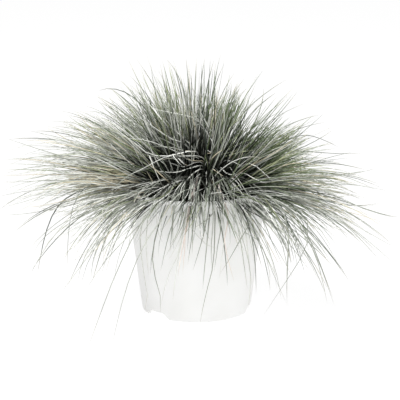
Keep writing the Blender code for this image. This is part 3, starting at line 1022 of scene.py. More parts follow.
# the least and the most that they can come to
SHADE_LIMITS = (0.6, 3.2)
GROWN_LIMITS = (0.3, 1.15)
LEFT_DRIER, FRONT_DRIER, RIGHT_DRIER, HEART_YOUNGER = 0.7, 0.8, 1.2, 1.1
LEFT_MORE_DRY = 0.6
MIDDLE_TONE, SIDE_PALER, HEART_PAINTED_SHADE, RIGHT_EVENER = 0.5, 0.1, 0.12, 0.4
KIND_START = 0.01
WIDTH_RANGE, FRONT_WIDER, RIGHT_NARROWER = (0.75, 1.12), 0.2, 0.18
DEPTH_IN_SHADE, FRONT_LIGHTER, SIDE_LIGHTER, HEART_DEEPER = 1.3, 0.3, 0.25, 1.5

left = np.clip(-paths[:, -1, 0] / REACH_X, -1.0, 1.0)
right = np.maximum(-left, 0.0)
drooped = np.clip((CROWN_TOP + DROOP_FROM - paths[:, -1, 2]) / DROOP_RANGE, 0.0, 1.0)
dryness = (
    smooth_noise(paths[:, SEGMENTS // 2 + 1, :], PATCH_SIZE, 5) + play(*KIND_PLAY)
    + LEFT_DRIER * left + FRONT_DRIER * fore - HEART_YOUNGER * (1.0 - share) * (1.0 - fore)
    + RIGHT_DRIER * right * drooped
)
kinds = np.where(dryness < np.quantile(dryness, YOUNG_SHARE), YOUNG, WAXED)
dry_from = np.quantile(dryness, 1.0 - DRY_SHARE) - LEFT_MORE_DRY * left
kinds = np.where(dryness > dry_from, DRY, kinds)
# the heart's leaves are painted darker, as painted shade deep in the clump
paleness = (
    MIDDLE_TONE + play(*TONE_PLAY) * (1.0 - RIGHT_EVENER * right)
    + SIDE_PALER * left + SIDE_PALER * right - HEART_PAINTED_SHADE * np.maximum(1.0 - share, 0.0)
)
tints = kinds + KIND_SPAN * np.clip(paleness, 0.0, 1.0) + KIND_START
widths = LEAF_WIDTH * rng.uniform(*WIDTH_RANGE, leaf_count)
widths = widths * (1.0 + FRONT_WIDER * fore) * (1.0 - RIGHT_NARROWER * right)
# painted shade: how far up each leaf's foot is painted dark, less in front and at the sides
shade = DEPTH_IN_SHADE + play(*SHADE_PLAY) - FRONT_LIGHTER * fore - SIDE_LIGHTER * np.abs(left)
shade = np.clip(shade + HEART_DEEPER * (1.0 - share), *SHADE_LIMITS)
twists = random_twists(leaf_count)
lengths = np.linalg.norm(np.diff(paths, axis=1), axis=2).sum(axis=1)
grown = np.clip(lengths / (FULL_GROWN * growth), *GROWN_LIMITS)
print("young, waxed, dry:", *(int((kinds == kind).sum()) for kind in (YOUNG, WAXED, DRY)))

# %% [markdown]
# The leaves are joined in five pieces, by where they root, from the heart of the clump to
# its edge. Each piece takes the place of the tufts of its own zone.

# %% Leaf pieces
ZONES = {
    "heart_leaves": (0, 10), "inner_leaves": (10, 22), "middle_leaves": (22, 34),
    "outer_leaves": (34, 45), "edge_leaves": (45, 54),
}

for name, (first_tuft, past_tuft) in ZONES.items():
    chosen = keep[(leaf_tuft[keep] >= first_tuft) & (leaf_tuft[keep] < past_tuft)]
    mesh = leaf_mesh(
        name, paths[chosen], widths[chosen], tints[chosen], twists[chosen],
        shade=shade[chosen], grown=grown[chosen],
    )
    tufts = [f"leaf_tuft_{n + 1:02d}" for n in range(first_tuft, past_tuft)]
    dress(name, mesh, waxed_leaf, "leaf", *tufts)

# %% [markdown]
# ## The long leaves of the outline
#
# The leaves that stand out of the clump make its outline, so each of these is placed where
# it is seen. A row gives how far the tip is in front of the pot's axis, in mm, and the
# picture points that the leaf passes, with the tip last. The leaf still roots on the
# crown. Many arching curves from root to tip are tried, and the one that passes nearest to
# the picture points, bends like a leaf and has no point in the pot's wall is kept.

# %% Long leaves
LONG_LEAVES = [
    # left side, from the highest to the lowest
    (-30, (30, 131)), (-10, (8, 139.5)), (20, (3, 174)), (-5, (27, 182), (0, 183)),
    (25, (21, 196), (0, 209)), (40, (13, 233)), (35, (21, 225)), (50, (28, 250)),
    (60, (31, 271)), (45, (46, 221), (44, 243), (37, 276)), (60, (71, 212), (65, 253),
     (67, 275)),
    (70, (68, 286)), (75, (92, 282)), (80, (86, 262)), (85, (101, 275)),
    (30, (38, 208)), (10, (18, 160)), (-15, (40, 148)), (55, (50, 240)), (65, (76, 246)),
    # upper left and top
    (-50, (149, 78), (135, 57)), (-40, (181, 83), (166, 58)), (-60, (186, 58)),
    (-50, (205, 57)), (-45, (157, 68)), (-70, (118, 79)), (-30, (121, 91), (97, 91)),
    (-60, (96, 96)), (-40, (97, 101)), (-70, (83, 105)), (-50, (67, 115)), (-30, (75, 124)),
    (-60, (60, 136)), (-50, (224, 64)), (-60, (245, 78)), (-50, (248, 87)), (-40, (173, 64)),
    (-30, (196, 63)), (-60, (214, 60)), (-70, (143, 70)), (-40, (128, 74)), (-60, (108, 87)),
    (-20, (52, 126)), (-30, (235, 72)),
    # right side, from the highest to the lowest
    (-60, (264, 94), (287, 79)), (-50, (282, 111), (298, 91)), (-50, (319, 115)),
    (-20, (302, 147), (334, 129)), (-30, (308, 136), (342, 149)), (-10, (315, 152), (367, 153)),
    (0, (366, 170)), (10, (381, 185)), (-20, (384, 189)), (20, (358, 206), (381, 203)),
    (30, (358, 206), (379, 213), (400, 217)), (50, (358, 218), (396, 248)), (45, (380, 256)),
    (30, (385, 240)), (70, (328, 251), (345, 276)), (75, (312, 244), (321, 267), (333, 298)),
    (80, (326, 295)), (90, (289, 237), (287, 298)),
    (50, (339, 234)), (85, (293, 265)),
    (60, (330, 265)), (10, (352, 178)), (25, (362, 196)), (40, (352, 226)), (55, (362, 244)),
    (-40, (306, 103)), (-60, (277, 92)), (-30, (327, 122)),
    # in front of the pot
    (85, (170, 252)), (80, (204, 244)), (85, (262, 268)),
    # across the middle
    (25, (140, 157), (120, 154), (75, 148)), (35, (145, 170), (120, 167), (85, 161)),
    (40, (240, 178), (262, 170)), (60, (176, 160), (160, 160)),
]
TRIAL_LEANS = np.radians([5.0, 20.0, 35.0, 50.0, 65.0, 80.0])
TRIAL_BENDS = np.radians([-10.0, 10.0, 25.0, 45.0, 70.0, 95.0])
TRIAL_PULLS = np.array([0.2, 0.35, 0.5, 0.7])
TRIAL_TURNS = np.radians([-55.0, -25.0, 0.0, 25.0, 55.0])
EDGE_CHORD_LEAN = math.radians(100)
NEAREST_ROOT = 0.15
MOST_TIP_LEAN = math.radians(176)
LONG_WIDTH, LONG_PALENESS, LONG_SHADE = (1.15, 1.4), (0.1, 0.6), 0.6
EASY_RISE, RISE_UNEASE = math.radians(25), math.radians(20)
EASY_BEND, BEND_UNEASE = math.radians(25), math.radians(25)
EASY_PULL, PULL_UNEASE = 0.35, 0.3
TURN_UNEASE = math.radians(30)
MISS_WEIGHT, UNEASE_WEIGHT, IN_POT = 0.6, 0.4, 100.0
POOR_MISS = 3.0
trials = np.stack(np.meshgrid(
    TRIAL_LEANS, TRIAL_BENDS, TRIAL_PULLS, TRIAL_PULLS, TRIAL_TURNS, TRIAL_TURNS, indexing="ij"
), axis=-1).reshape(-1, 6)


def places_under(tips):
    """Where in plan leaves root: the further out a tip is, the nearer to the crown's edge."""
    chord_lean = np.arctan2(np.hypot(tips[:, 0], tips[:, 1]), tips[:, 2] - CROWN_TOP)
    heading = np.arctan2(tips[:, 1] - PARTING[1], tips[:, 0] - PARTING[0])
    radius = np.clip(chord_lean / EDGE_CHORD_LEAN, NEAREST_ROOT, 1.0) * TUFT_RING_RADIUS
    return np.stack([radius * np.cos(heading), radius * np.sin(heading)], axis=1)


def placed_path(in_front, seen):
    """The best arching path from the crown to the tip that is seen, its cost and its miss."""
    tip = np.array(seen_at(*seen[-1], in_front * MM))
    root = on_crown(places_under(tip[None]))[0]
    chord = tip - root
    reach = np.linalg.norm(chord)
    lean = math.acos(chord[2] / reach)
    towards = math.atan2(chord[1], chord[0])
    tried = trials if len(seen) > 1 else trials[(trials[:, 4] == 0.0) & (trials[:, 5] == 0.0)]
    first, bend, first_pull, last_pull, turn, last_turn = tried.T
    last = np.minimum(lean + bend, MOST_TIP_LEAN)
    one = root + tilted(towards + turn, first) * (first_pull * reach)[:, None]
    two = tip - tilted(towards + last_turn, last) * (last_pull * reach)[:, None]
    paths = bezier(root[None], one, two, tip[None])
    shown = seen_pixels(paths)
    shown = np.concatenate([shown, 0.5 * (shown[:, 1:] + shown[:, :-1])], axis=1)
    miss = np.zeros(len(tried))
    for point in seen[:-1]:
        miss = miss + np.linalg.norm(shown - np.array(point), axis=-1).min(axis=1)
    unease = ((first - lean + EASY_RISE) / RISE_UNEASE) ** 2
    unease += ((bend - EASY_BEND) / BEND_UNEASE) ** 2
    rise_unease, fall_unease = ((p - EASY_PULL) / PULL_UNEASE for p in (first_pull, last_pull))
    unease += rise_unease ** 2 + fall_unease ** 2
    unease += (np.abs(turn) + np.abs(last_turn)) / TURN_UNEASE
    cost = MISS_WEIGHT * miss + UNEASE_WEIGHT * unease + IN_POT * ~clears_pot(paths)
    best = int(np.argmin(cost))
    return paths[best], cost[best], miss[best]


long_paths = []
for in_front, *seen in LONG_LEAVES:
    path, cost, miss = placed_path(in_front, seen)
    if miss > POOR_MISS:
        print("the leaf at", seen[-1], "misses its points by", round(miss, 1), "pixels")
    if cost < IN_POT:
        long_paths.append(path)
long_paths = np.array(long_paths)
long_count = len(long_paths)
print("long leaves placed:", long_count, "of", len(LONG_LEAVES))
rng = np.random.default_rng(11)
# painted shade only at the very foot of these leaves
long_mesh = leaf_mesh(
    "long_leaves",
    long_paths,
    LEAF_WIDTH * rng.uniform(*LONG_WIDTH, long_count),
    WAXED + KIND_SPAN * rng.uniform(*LONG_PALENESS, long_count),
    random_twists(long_count),
    shade=LONG_SHADE,
)
dress("long_leaves", long_mesh, waxed_leaf, "leaf")

# %% [markdown]
# ## The leaves traced over the front
#
# In front, the leaves rise from the parting, bend over the dark crown and hang over the rim,
# and each can be followed. The same is true of some that hang down past the pot and
# of some that reach out to the sides. So each is drawn along the picture points that it
# passes. It roots at the parting. A row gives how far its first and its last point lie in
# front of the pot's axis in mm, and its tone: 0 to 1 for a young leaf, 1 to 2 for a waxed
# and 2 to 3 for a dry one, each from dark to pale.
#
# A corner-cutting rule rounds the line of points, which keeps it near them, where a smooth
# curve through them would swing. A leaf with a point in the pot's wall is moved forward until
# it has none. The foot of a leaf is hidden by the others, so painted shade keeps it dark up
# to the first point. The last bit of a tip is too fine to be seen, so it is added past the
# last point.

# %% Traced leaves
TRACED_LEAVES = [
    # from the parting to the left
    (8, 30, 1.9, (204, 162), (196, 161.6), (189.5, 165), (185, 167), (178.6, 166), (171, 163),
     (167, 162)),
    (8, 45, 1.8, (203.6, 164), (197.7, 166), (190.5, 168), (179.5, 172), (170.5, 172.7),
     (156.8, 171)),
    (10, 55, 1.7, (203.6, 168), (199, 169.5), (192, 174), (184, 183.6), (179.5, 191),
     (181, 197.7)),
    (6, 25, 1.9, (200, 158.6), (194.5, 156.6), (186.4, 156), (174, 157)),
    (12, 28, 1.6, (193.6, 161), (187.7, 160), (181, 155)),
    (15, 25, 2.0, (188, 166), (185.5, 164.5), (178.6, 160.2)),
    (30, 72, 1.98, (184, 179), (171.4, 183.6), (163.6, 186.8), (154.5, 191.4), (146.8, 195.5),
     (136, 201.5)),
    (30, 70, 0.9, (180, 182), (173, 187.7), (165, 195.5), (157.7, 199), (148.6, 200.5),
     (140, 201.4)),
    (30, 68, 1.8, (184, 180), (179.5, 185.5), (175, 191), (173.6, 195), (171, 199)),
    (25, 76, 1.98, (190.5, 177.7), (190.5, 184.5), (188.5, 193), (182.7, 201.4), (176, 209)),
    (12, 40, 1.7, (201, 173), (199.5, 174.5), (196, 177.3), (193.6, 179.5)),
    (25, 75, 1.8, (197.3, 180), (194, 185.5), (193.6, 191), (194.5, 196), (193.6, 204.5)),
    (40, 76, 1.6, (197.7, 190), (196.8, 196.8), (196, 206)),
    (35, 70, 1.9, (205, 188), (200, 190), (196, 191.8), (191, 196)),
    (40, 50, 1.9, (168, 179), (160, 181), (149, 184), (143, 185.5), (136.4, 187.7)),
    (30, 45, 1.8, (170, 178), (156, 181.4), (141.8, 183.6), (131.8, 186.8), (124, 189)),
    (50, 75, 1.9, (172, 190), (165, 197), (154, 204), (149.5, 207.3), (144.5, 213.2)),
    (60, 80, 1.98, (150, 201), (142.5, 206.5), (138, 211), (133, 214.5), (127, 219)),
    (55, 78, 1.1, (160, 196), (150, 202), (143, 206), (136, 211.5), (128, 219), (120, 224)),
    (40, 70, 1.2, (158, 197), (140, 203), (133, 206), (126, 209), (117, 213)),
    (12, 20, 2.5, (192, 150), (185, 151), (176, 149)),
    # across the heart of the clump
    (15, 42, 1.98, (198, 150.5), (192, 150.3), (180, 153.5), (165, 156.8), (157, 156),
     (150, 154.3),
     (142, 150), (132, 141)),
    (10, 30, 1.8, (205, 158.5), (199, 156), (192, 155.3), (184, 156), (176, 155.5)),
    (35, 62, 1.9, (172, 155), (165, 157), (158, 160), (152, 163.5), (145, 167.5), (127, 176)),
    (5, 5, 1.99, (194, 148), (188.5, 142.5), (184, 138.5), (179, 133.5), (175, 130),
     (170, 127)),
    (5, 0, 1.95, (190, 150), (187, 146.5), (184, 141), (181, 137), (177, 132), (171, 126),
     (165, 119)),
    (8, 10, 1.75, (190, 145), (178, 141), (171, 139), (164, 134.5), (157, 129.5),
     (150, 124.5), (132, 113)),
    (12, 30, 1.85, (188, 156), (181, 154), (176, 151), (168, 148), (160, 145), (153, 142),
     (143, 139.5),
     (126, 138)),
    (10, 25, 1.5, (186, 150), (172, 144), (166, 140.5), (158, 137)),
    (10, 28, 1.5, (195, 152), (185, 151), (178, 149), (168, 146.5), (156, 146)),
    (0, -20, 1.98, (166, 124), (158, 115), (153, 109), (150, 104.5), (143, 96)),
    (8, 0, 1.8, (202, 122), (196, 118.5), (190, 116.5), (178, 114), (166, 111.5), (153, 109)),
    (10, 0, 1.7, (206, 130), (199, 125), (194, 121.5), (187, 118.5)),
    (12, 0, 1.9, (216, 150), (213.5, 144), (211, 139), (203.5, 127), (195, 115.5),
     (188.5, 105)),
    (8, 0, 1.6, (213, 135), (207, 124), (204, 119), (199.5, 110), (196, 103)),
    (5, -10, 2.6, (214, 135), (215, 124), (215.3, 112), (216.5, 103), (220, 99), (226, 95.5)),
    (6, 0, 1.7, (216, 136), (212, 131), (208, 127), (201, 119)),
    (4, 4, 1.1, (202.5, 157), (201.3, 145), (200.5, 138), (201.5, 131), (203, 124)),
    (12, 16, 1.9, (205, 150), (206.5, 149), (209.5, 151.5), (213, 153.5), (219.5, 152.5)),
    (10, 15, 0.6, (216, 158), (220, 152), (222, 148), (222.5, 142), (218, 138)),
    (12, 10, 0.7, (214, 160), (220, 155), (226, 153), (233, 152), (243, 148)),
    (10, 20, 2.4, (205, 160), (200, 161), (193, 160.5), (188, 159.5), (184, 157), (181, 153)),
    (25, 40, 1.85, (171, 152), (173, 156), (178, 162), (182, 166)),
    (25, 40, 1.95, (175, 156), (178, 158), (181, 161), (186, 165.5)),
    (45, 50, 1.8, (148, 153), (151, 158), (153, 164), (154, 170), (159, 179), (163, 187)),
    (30, 45, 1.6, (152, 154), (158, 159), (162, 162), (167, 166)),
    (12, 16, 1.95, (205, 167), (206, 163), (208, 160), (210.5, 157)),
    (12, 30, 1.8, (222, 160), (230, 160.5), (236, 163), (243, 167)),
    (8, -10, 0.8, (214, 158), (222, 150), (229, 143), (237, 136), (247, 128)),
    (8, -10, 0.7, (214, 160), (224, 152), (234, 146), (245, 141), (256, 138)),
    (6, -10, 0.9, (213, 152), (219, 142), (226, 132), (234, 123), (240, 117)),
    (8, 5, 0.75, (220, 158), (230, 155), (240, 152), (252, 150), (263, 150)),
    (6, -5, 0.85, (212, 150), (216, 138), (221, 127), (224, 116), (226, 106)),
    # out to the left, above the rim
    (0, -20, 1.5, (110, 168), (85.7, 160.4), (61, 156), (41, 150), (20.4, 143), (9.2, 139.4)),
    (0, -10, 1.6, (140, 160), (114, 154), (85.7, 150), (61, 147), (41, 145.5), (21.4, 145.7)),
    (0, -30, 1.4, (118, 150), (94, 146), (69.4, 140), (49, 135), (30.6, 131.2)),
    (5, 20, 1.6, (100, 168), (67, 170.6), (49, 174.7), (24.5, 180.8), (6, 181.6)),
    (5, 20, 1.7, (120, 162), (87.8, 162.4), (61.2, 165.5), (30.6, 172.7), (8, 175)),
    (0, 20, 1.6, (92, 152), (67, 154), (53, 159.4), (33.7, 167)),
    (0, -30, 0.7, (128, 145), (106, 138), (89.8, 131.8), (77.6, 122.7), (68.4, 116)),
    (0, -30, 0.8, (150, 146), (139, 141), (114, 134), (89.8, 126.7), (75.5, 122)),
    # out to the right, above the rim
    (5, 20, 1.6, (290, 178), (322.4, 180.8), (343, 183), (363.3, 186), (383.7, 190)),
    (5, 20, 1.5, (300, 176), (330.6, 176.7), (351, 174.7), (371.4, 169.6)),
    # over the rim, left of the pot
    (66, 118, 1.4, (142, 221), (135.3, 232.4), (124, 255.3), (112.4, 281.4), (102.6, 307.5),
     (90.4, 341)),
    (40, 70, 1.6, (135, 212), (110.8, 231), (92.9, 249), (78, 270), (66, 286)),
    (45, 75, 1.7, (140, 221), (123.9, 234), (107.6, 247), (86.3, 262)),
    (50, 84, 1.6, (146, 219), (135.3, 229), (119, 245.5), (102.7, 263.5), (91.2, 281.4)),
    (40, 70, 1.75, (132, 209), (117.3, 222.7), (94.5, 244), (76.5, 258.6)),
    (35, 60, 1.85, (124, 196), (107.6, 209.6), (86.3, 229), (70, 244)),
    (50, 80, 1.5, (134, 206), (123.9, 224.3), (117.3, 239), (107.6, 255.3), (98.6, 271.6)),
    (50, 74, 1.7, (100, 208), (102, 221), (103.5, 236), (103.5, 253.7)),
    (35, 70, 1.6, (118, 192), (90, 203), (66, 222), (53, 236), (40, 256), (31, 273)),
    (10, 50, 1.7, (110, 178), (80, 184), (50, 193), (24, 202), (8, 206)),
    # over the rim, right of the pot
    (30, 70, 1.3, (262, 186), (288, 200), (304, 213), (311, 228), (308, 243), (299, 262),
     (287, 280),
     (267, 310)),
    (50, 84, 1.5, (280, 206), (288, 224), (288.5, 240), (287.5, 262), (286.5, 280), (287, 300)),
    (40, 84, 1.2, (290, 216), (303, 232), (312, 247), (319, 262), (325, 278), (332, 298.4)),
    (45, 84, 1.4, (300, 228), (312, 246), (318, 262), (322, 278), (325.6, 295.6)),
    (30, 76, 1.15, (300, 215), (316, 236), (327, 250), (337.5, 261.6), (346.7, 277.2)),
    (20, 60, 1.6, (300, 196), (337.5, 215.7), (359.6, 234), (376, 247), (390, 260)),
    (10, 50, 1.6, (320, 204), (339, 216), (367, 232), (392, 246)),
    (20, 60, 1.5, (312, 205), (337, 218), (352, 230), (376, 256)),
    (0, 40, 1.3, (330, 192), (352, 204), (372, 212), (394, 217.5)),
    (0, 40, 1.7, (330, 200), (352, 206), (370, 206.5), (381.6, 203.8)),
    # over the rim and down the pot, left of its middle
    (66, 118, 1.5, (170, 203), (163.7, 215), (158.8, 223.5), (148, 238), (142, 248.5),
     (132, 271),
     (127, 286), (120, 309), (113, 341)),
    (68, 80, 1.6, (157, 204), (156.3, 215), (157, 227), (160, 239.5), (163, 244)),
    (70, 88, 1.25, (158, 224), (155.5, 236), (152.3, 250), (152.5, 265), (157, 286),
     (161.8, 300),
     (161.3, 306)),
    (66, 84, 1.6, (148, 212), (147.5, 224), (145.8, 238), (146, 250), (148, 270)),
    (66, 88, 1.6, (139, 222), (140, 238), (141, 256), (144.5, 279), (148.5, 295), (146, 306)),
    (68, 88, 1.2, (181, 205), (177, 214), (173, 222.5), (168.5, 235), (165.5, 248),
     (161.3, 268)),
    (68, 80, 1.5, (178, 204), (173.5, 211), (166.5, 223), (161.5, 231.5)),
    (70, 82, 1.3, (183, 225), (181, 229), (176.3, 237.5), (172, 245), (166.7, 254)),
    (72, 82, 1.7, (182, 233), (178.5, 243), (175, 249), (171.5, 255)),
    (72, 86, 3.0, (186, 236), (181.5, 240), (182.7, 248), (179.5, 263), (178.5, 272)),
    (72, 86, 3.0, (184, 236), (186.5, 241), (184.5, 247), (184, 257), (183, 269)),
    (72, 88, 1.7, (181, 246), (178, 257), (176.5, 270), (174.5, 284), (173.5, 294)),
    (72, 86, 1.8, (180, 250), (173.5, 266), (167, 276.5), (165, 285), (162.5, 298)),
    (70, 78, 1.4, (192, 222), (193.3, 229), (192.7, 238), (192.5, 246)),
    (70, 76, 1.4, (214, 216), (206, 220.5), (200, 224.5), (193.5, 228.5)),
    (70, 80, 1.8, (188, 225), (192.5, 230), (200, 239), (206, 245), (213, 247.5)),
    (62, 90, 1.15, (210, 198), (209.5, 208), (206.5, 221), (203.5, 235), (199.5, 249),
     (194, 267)),
    (60, 72, 0.25, (197, 203), (195, 210), (191, 218), (188, 226)),
    (60, 74, 0.5, (193, 203), (192, 212), (187, 222), (184, 231)),
    (62, 74, 0.8, (201, 204), (198, 213), (193, 222), (187, 231), (183, 237)),
    (60, 72, 1.5, (187, 202), (186, 210), (183, 217), (179, 225)),
    # over the rim and down the pot, right of its middle
    (66, 86, 1.4, (213.3, 200), (213.5, 216), (212.5, 230), (211.3, 243), (211.2, 258),
     (211.8, 267)),
    (68, 98, 1.35, (216, 224), (214.2, 238), (214.3, 256), (212, 272), (208.5, 284), (204, 301),
     (201, 318)),
    (64, 84, 1.25, (219, 203), (219.5, 212), (222, 222), (220, 234), (217.5, 246), (216, 259),
     (214.5, 268)),
    (64, 78, 1.2, (221, 203), (224, 213), (222, 221), (223.4, 232), (223.4, 238)),
    (68, 84, 3.0, (230, 217), (227, 226), (223.6, 241), (226.5, 253), (229.5, 266),
     (232.5, 276)),
    (70, 84, 1.8, (226, 236), (222.5, 250), (220.8, 265), (220, 273)),
    (66, 90, 1.3, (252, 226), (244.5, 233), (238.5, 241), (234.5, 251), (228.5, 261),
     (223, 269)),
    (68, 86, 1.4, (238, 226), (241, 243), (243.3, 259), (246.5, 283)),
    (66, 92, 1.7, (245, 222), (246.5, 241), (248.7, 263), (251.5, 280), (249, 302)),
    (64, 80, 1.5, (246, 222), (250.5, 241), (253, 254), (254, 260)),
    (62, 90, 1.2, (246, 219), (251, 227), (257, 236), (262.5, 246), (268, 261), (276, 280),
     (284, 298)),
    (62, 74, 1.3, (244, 232), (251, 236), (257, 239), (263, 245)),
    (62, 82, 1.5, (256, 230), (262, 247), (268, 262), (270.5, 276), (270, 283)),
    (60, 74, 1.2, (252, 210), (258, 224), (260.5, 236), (262, 241)),
    (58, 78, 1.3, (258, 208), (266, 226), (271, 240), (277, 253), (281, 262)),
    (56, 80, 1.6, (262, 212), (270, 222), (276, 233), (281, 241), (288, 250)),
    (68, 78, 1.3, (225, 216), (231, 226), (236, 232), (239, 236)),
    (60, 72, 1.7, (223, 206), (227, 214), (234, 224), (236, 230)),
    (64, 80, 1.7, (230, 230), (231, 240), (229, 246), (227, 250)),
    # from the parting to the right
    (12, 35, 1.7, (219.5, 165.5), (223.2, 170.5), (228, 175), (237.3, 174.5)),
    (20, 68, 1.8, (226, 175), (231.4, 181), (235, 186.4), (243.2, 193.6), (251, 206),
     (255, 215)),
    (15, 62, 1.6, (228.2, 163.6), (234, 173.6), (243.2, 186), (245, 191), (251.8, 199.5)),
    (20, 50, 1.9, (229, 176), (237.7, 181.8), (240.5, 187.3), (242.7, 191)),
    (30, 68, 1.98, (232, 180), (234.5, 187), (234, 192), (233.6, 198), (236, 206)),
    (40, 62, 1.8, (232, 184), (233.6, 189.5), (228.6, 193.6), (224, 195), (220.5, 194.5)),
    (12, 70, 1.7, (206, 169), (206.4, 177.3), (206.8, 184.5), (204, 191), (202.5, 202),
     (205, 212)),
    (30, 74, 1.5, (208.6, 180), (208.6, 187.7), (206.8, 193.2), (205.5, 203), (206, 216)),
    (30, 74, 1.7, (218, 180), (216, 186.4), (212.3, 190), (210.6, 199), (210, 212)),
    (20, 72, 1.8, (220.5, 177.3), (220, 184), (217.5, 190), (218.2, 197.7), (216, 210)),
    (40, 70, 1.6, (219, 188), (220.5, 195), (222, 203), (227, 214)),
    (12, 20, 1.9, (228, 160), (232.7, 161.4), (239.5, 165.5)),
    (30, 45, 1.9, (240, 172), (247.3, 174), (252.3, 177.7), (258.6, 181), (266, 183)),
    (25, 40, 1.8, (246, 162), (256, 165.5), (262.3, 171.4), (268.6, 177.3), (274, 182)),
    (15, 40, 2.5, (210, 166.8), (216.8, 171.8), (223.6, 176.4)),
    (10, 14, 2.4, (204, 155), (208.6, 152.7), (214.5, 153.4), (219.5, 152.7)),
    (60, 78, 1.98, (254, 196), (256.5, 201), (260, 206), (266, 212)),
    (55, 76, 0.95, (262, 195), (269, 204), (276, 214), (282, 226)),
    (55, 76, 1.9, (262, 203), (268, 213), (274, 222), (282, 231)),
    (60, 76, 1.95, (242, 205), (247, 214), (252, 222), (258, 232)),
]
TRACED_STEP = 4.0 * MM
MOST_STEPS = 14
AHEAD = 10.0
FRONT_POWER = 0.7
LIT_FROM = 0.3
UNSEEN_TIP = 0.06
HUB_SEEN = (206.0, 164.0)
RIM_SEEN = 206.0
BEND_SEEN = 8.0
OVER_RIM, RISING = 0.7, 0.35
OVER_CROWN = 20.0
ROOT_PLAY = 4.0 * MM
CORNER_CUTS = 4
TRACED_WIDTH, DARKEST_TONE, SHADE_LIMITS = (1.05, 1.35), 0.22, (0.5, 3.0)


def line_run(points):
    """How far along a line of points each one is."""
    return np.concatenate([[0.0], np.cumsum(np.linalg.norm(np.diff(points, axis=0), axis=1))])


def rounded(points):
    """A line of points with its corners cut, its two ends kept."""
    for _ in range(CORNER_CUTS):
        early = 0.75 * points[:-1] + 0.25 * points[1:]
        late = 0.25 * points[:-1] + 0.75 * points[1:]
        middle = np.stack([early, late], axis=1).reshape(-1, 3)
        points = np.concatenate([points[:1], middle[1:-1], points[-1:]])
    return points


def traced_path(near, far, seen):
    """A leaf along its picture points, how often it is moved, and how much of it is hidden."""
    if seen[0][1] > RIM_SEEN:
        over_rim = (OVER_RIM * seen[0][0] + (1.0 - OVER_RIM) * HUB_SEEN[0], RIM_SEEN - BEND_SEEN)
        rising = (RISING * seen[0][0] + (1.0 - RISING) * HUB_SEEN[0], HUB_SEEN[1] + BEND_SEEN)
        seen = [rising, over_rim, *seen]
        near = OVER_CROWN
    seen = np.array(seen, float)
    run = line_run(seen)
    last_step = seen[-1] - seen[-2]
    seen[-1] += UNSEEN_TIP * run[-1] * last_step / np.linalg.norm(last_step)
    depth = (near + AHEAD + (far - near) * (run / run[-1]) ** FRONT_POWER) * MM
    aside = rng.normal(0, ROOT_PLAY, 2) + PARTING
    root = np.array([*aside, crown_height(np.hypot(*aside)) - ROOT_DEPTH])
    for push in range(MOST_STEPS):
        shown = [seen_at(x, y, d + push * TRACED_STEP) for (x, y), d in zip(seen, depth)]
        line = rounded(np.array([root, *shown]))
        steps = line_run(line)
        even = along * steps[-1]
        path = np.stack([np.interp(even, steps, line[:, k]) for k in range(3)], axis=1)
        if clears_pot(path[None])[0]:
            return path, push, np.linalg.norm(np.array(shown[0]) - root) / steps[-1]
    return None, push, 0.0


rng = np.random.default_rng(23)
traced, tones, hidden = [], [], []
moved = 0
for near, far, tone, *seen in TRACED_LEAVES:
    path, push, unseen = traced_path(near, far, seen)
    if path is None:
        print("the traced leaf at", seen[-1], "does not clear the pot")
        continue
    traced.append(path)
    tones.append(tone)
    hidden.append(unseen)
    moved += push > 0
traced_count = len(traced)
print("leaves traced:", traced_count, "of", len(TRACED_LEAVES), "moved:", moved)
tones = np.array(tones)
# painted shade keeps each traced leaf dark up to its first point
traced_mesh = leaf_mesh(
    "traced_leaves",
    np.array(traced),
    LEAF_WIDTH * rng.uniform(*TRACED_WIDTH, traced_count),
    np.floor(tones) / 3 + KIND_SPAN * (DARKEST_TONE + (1.0 - DARKEST_TONE) * (tones % 1.0)),
    random_twists(traced_count),
    shade=np.clip(math.log(LIT_FROM) / np.log(np.array(hidden)), *SHADE_LIMITS),
)
dress("traced_leaves", traced_mesh, waxed_leaf, "leaf")

# %% [markdown]
# ## Arched leaves
#
# The photo shows sprays, which are groups of leaves that lie together and share a colour:
# straw at the left, olive at the upper right, grey-blue at the top. Their tips can be seen
# but not their way there, so every leaf is a Bezier curve from the crown to its own tip. Its
# two handles give it the lean of a leaf at the root and at the tip. One with a point in the
# pot's wall is drawn again.

# %% Arched leaves
RISE_PLAY, FALL_PLAY = 0.16, 0.24
RISE_PULL, FALL_PULL = (0.22, 0.42), (0.28, 0.50)
PALE_PLAY, PALE_LIMITS = 0.16, (0.03, 0.97)
ARCHED_WIDTH = (0.8, 1.2)


def arched(root, tip, first, last, sway):
    """Leaves from root to tip, drawn again until they clear the pot, and their numbers."""
    drawn = np.zeros((len(root), SEGMENTS + 1, 3))
    to_draw = np.arange(len(root))
    for _ in range(DRAWINGS):
        n = len(to_draw)
        start, end = root[to_draw], tip[to_draw]
        reach = np.linalg.norm(end - start, axis=1)[:, None]
        heading = np.arctan2(end[:, 1] - start[:, 1], end[:, 0] - start[:, 0])
        rising = heading + rng.normal(0, sway, n), first[to_draw] + rng.normal(0, RISE_PLAY, n)
        falling = heading + rng.normal(0, sway, n), last[to_draw] + rng.normal(0, FALL_PLAY, n)
        one = start + tilted(*rising) * rng.uniform(*RISE_PULL, (n, 1)) * reach
        two = end - tilted(*falling) * rng.uniform(*FALL_PULL, (n, 1)) * reach
        drawn[to_draw] = bezier(start, one, two, end)
        to_draw = to_draw[~clears_pot(drawn[to_draw])]
        if len(to_draw) == 0:
            break
    return np.delete(drawn, to_draw, axis=0), np.delete(np.arange(len(root)), to_draw)


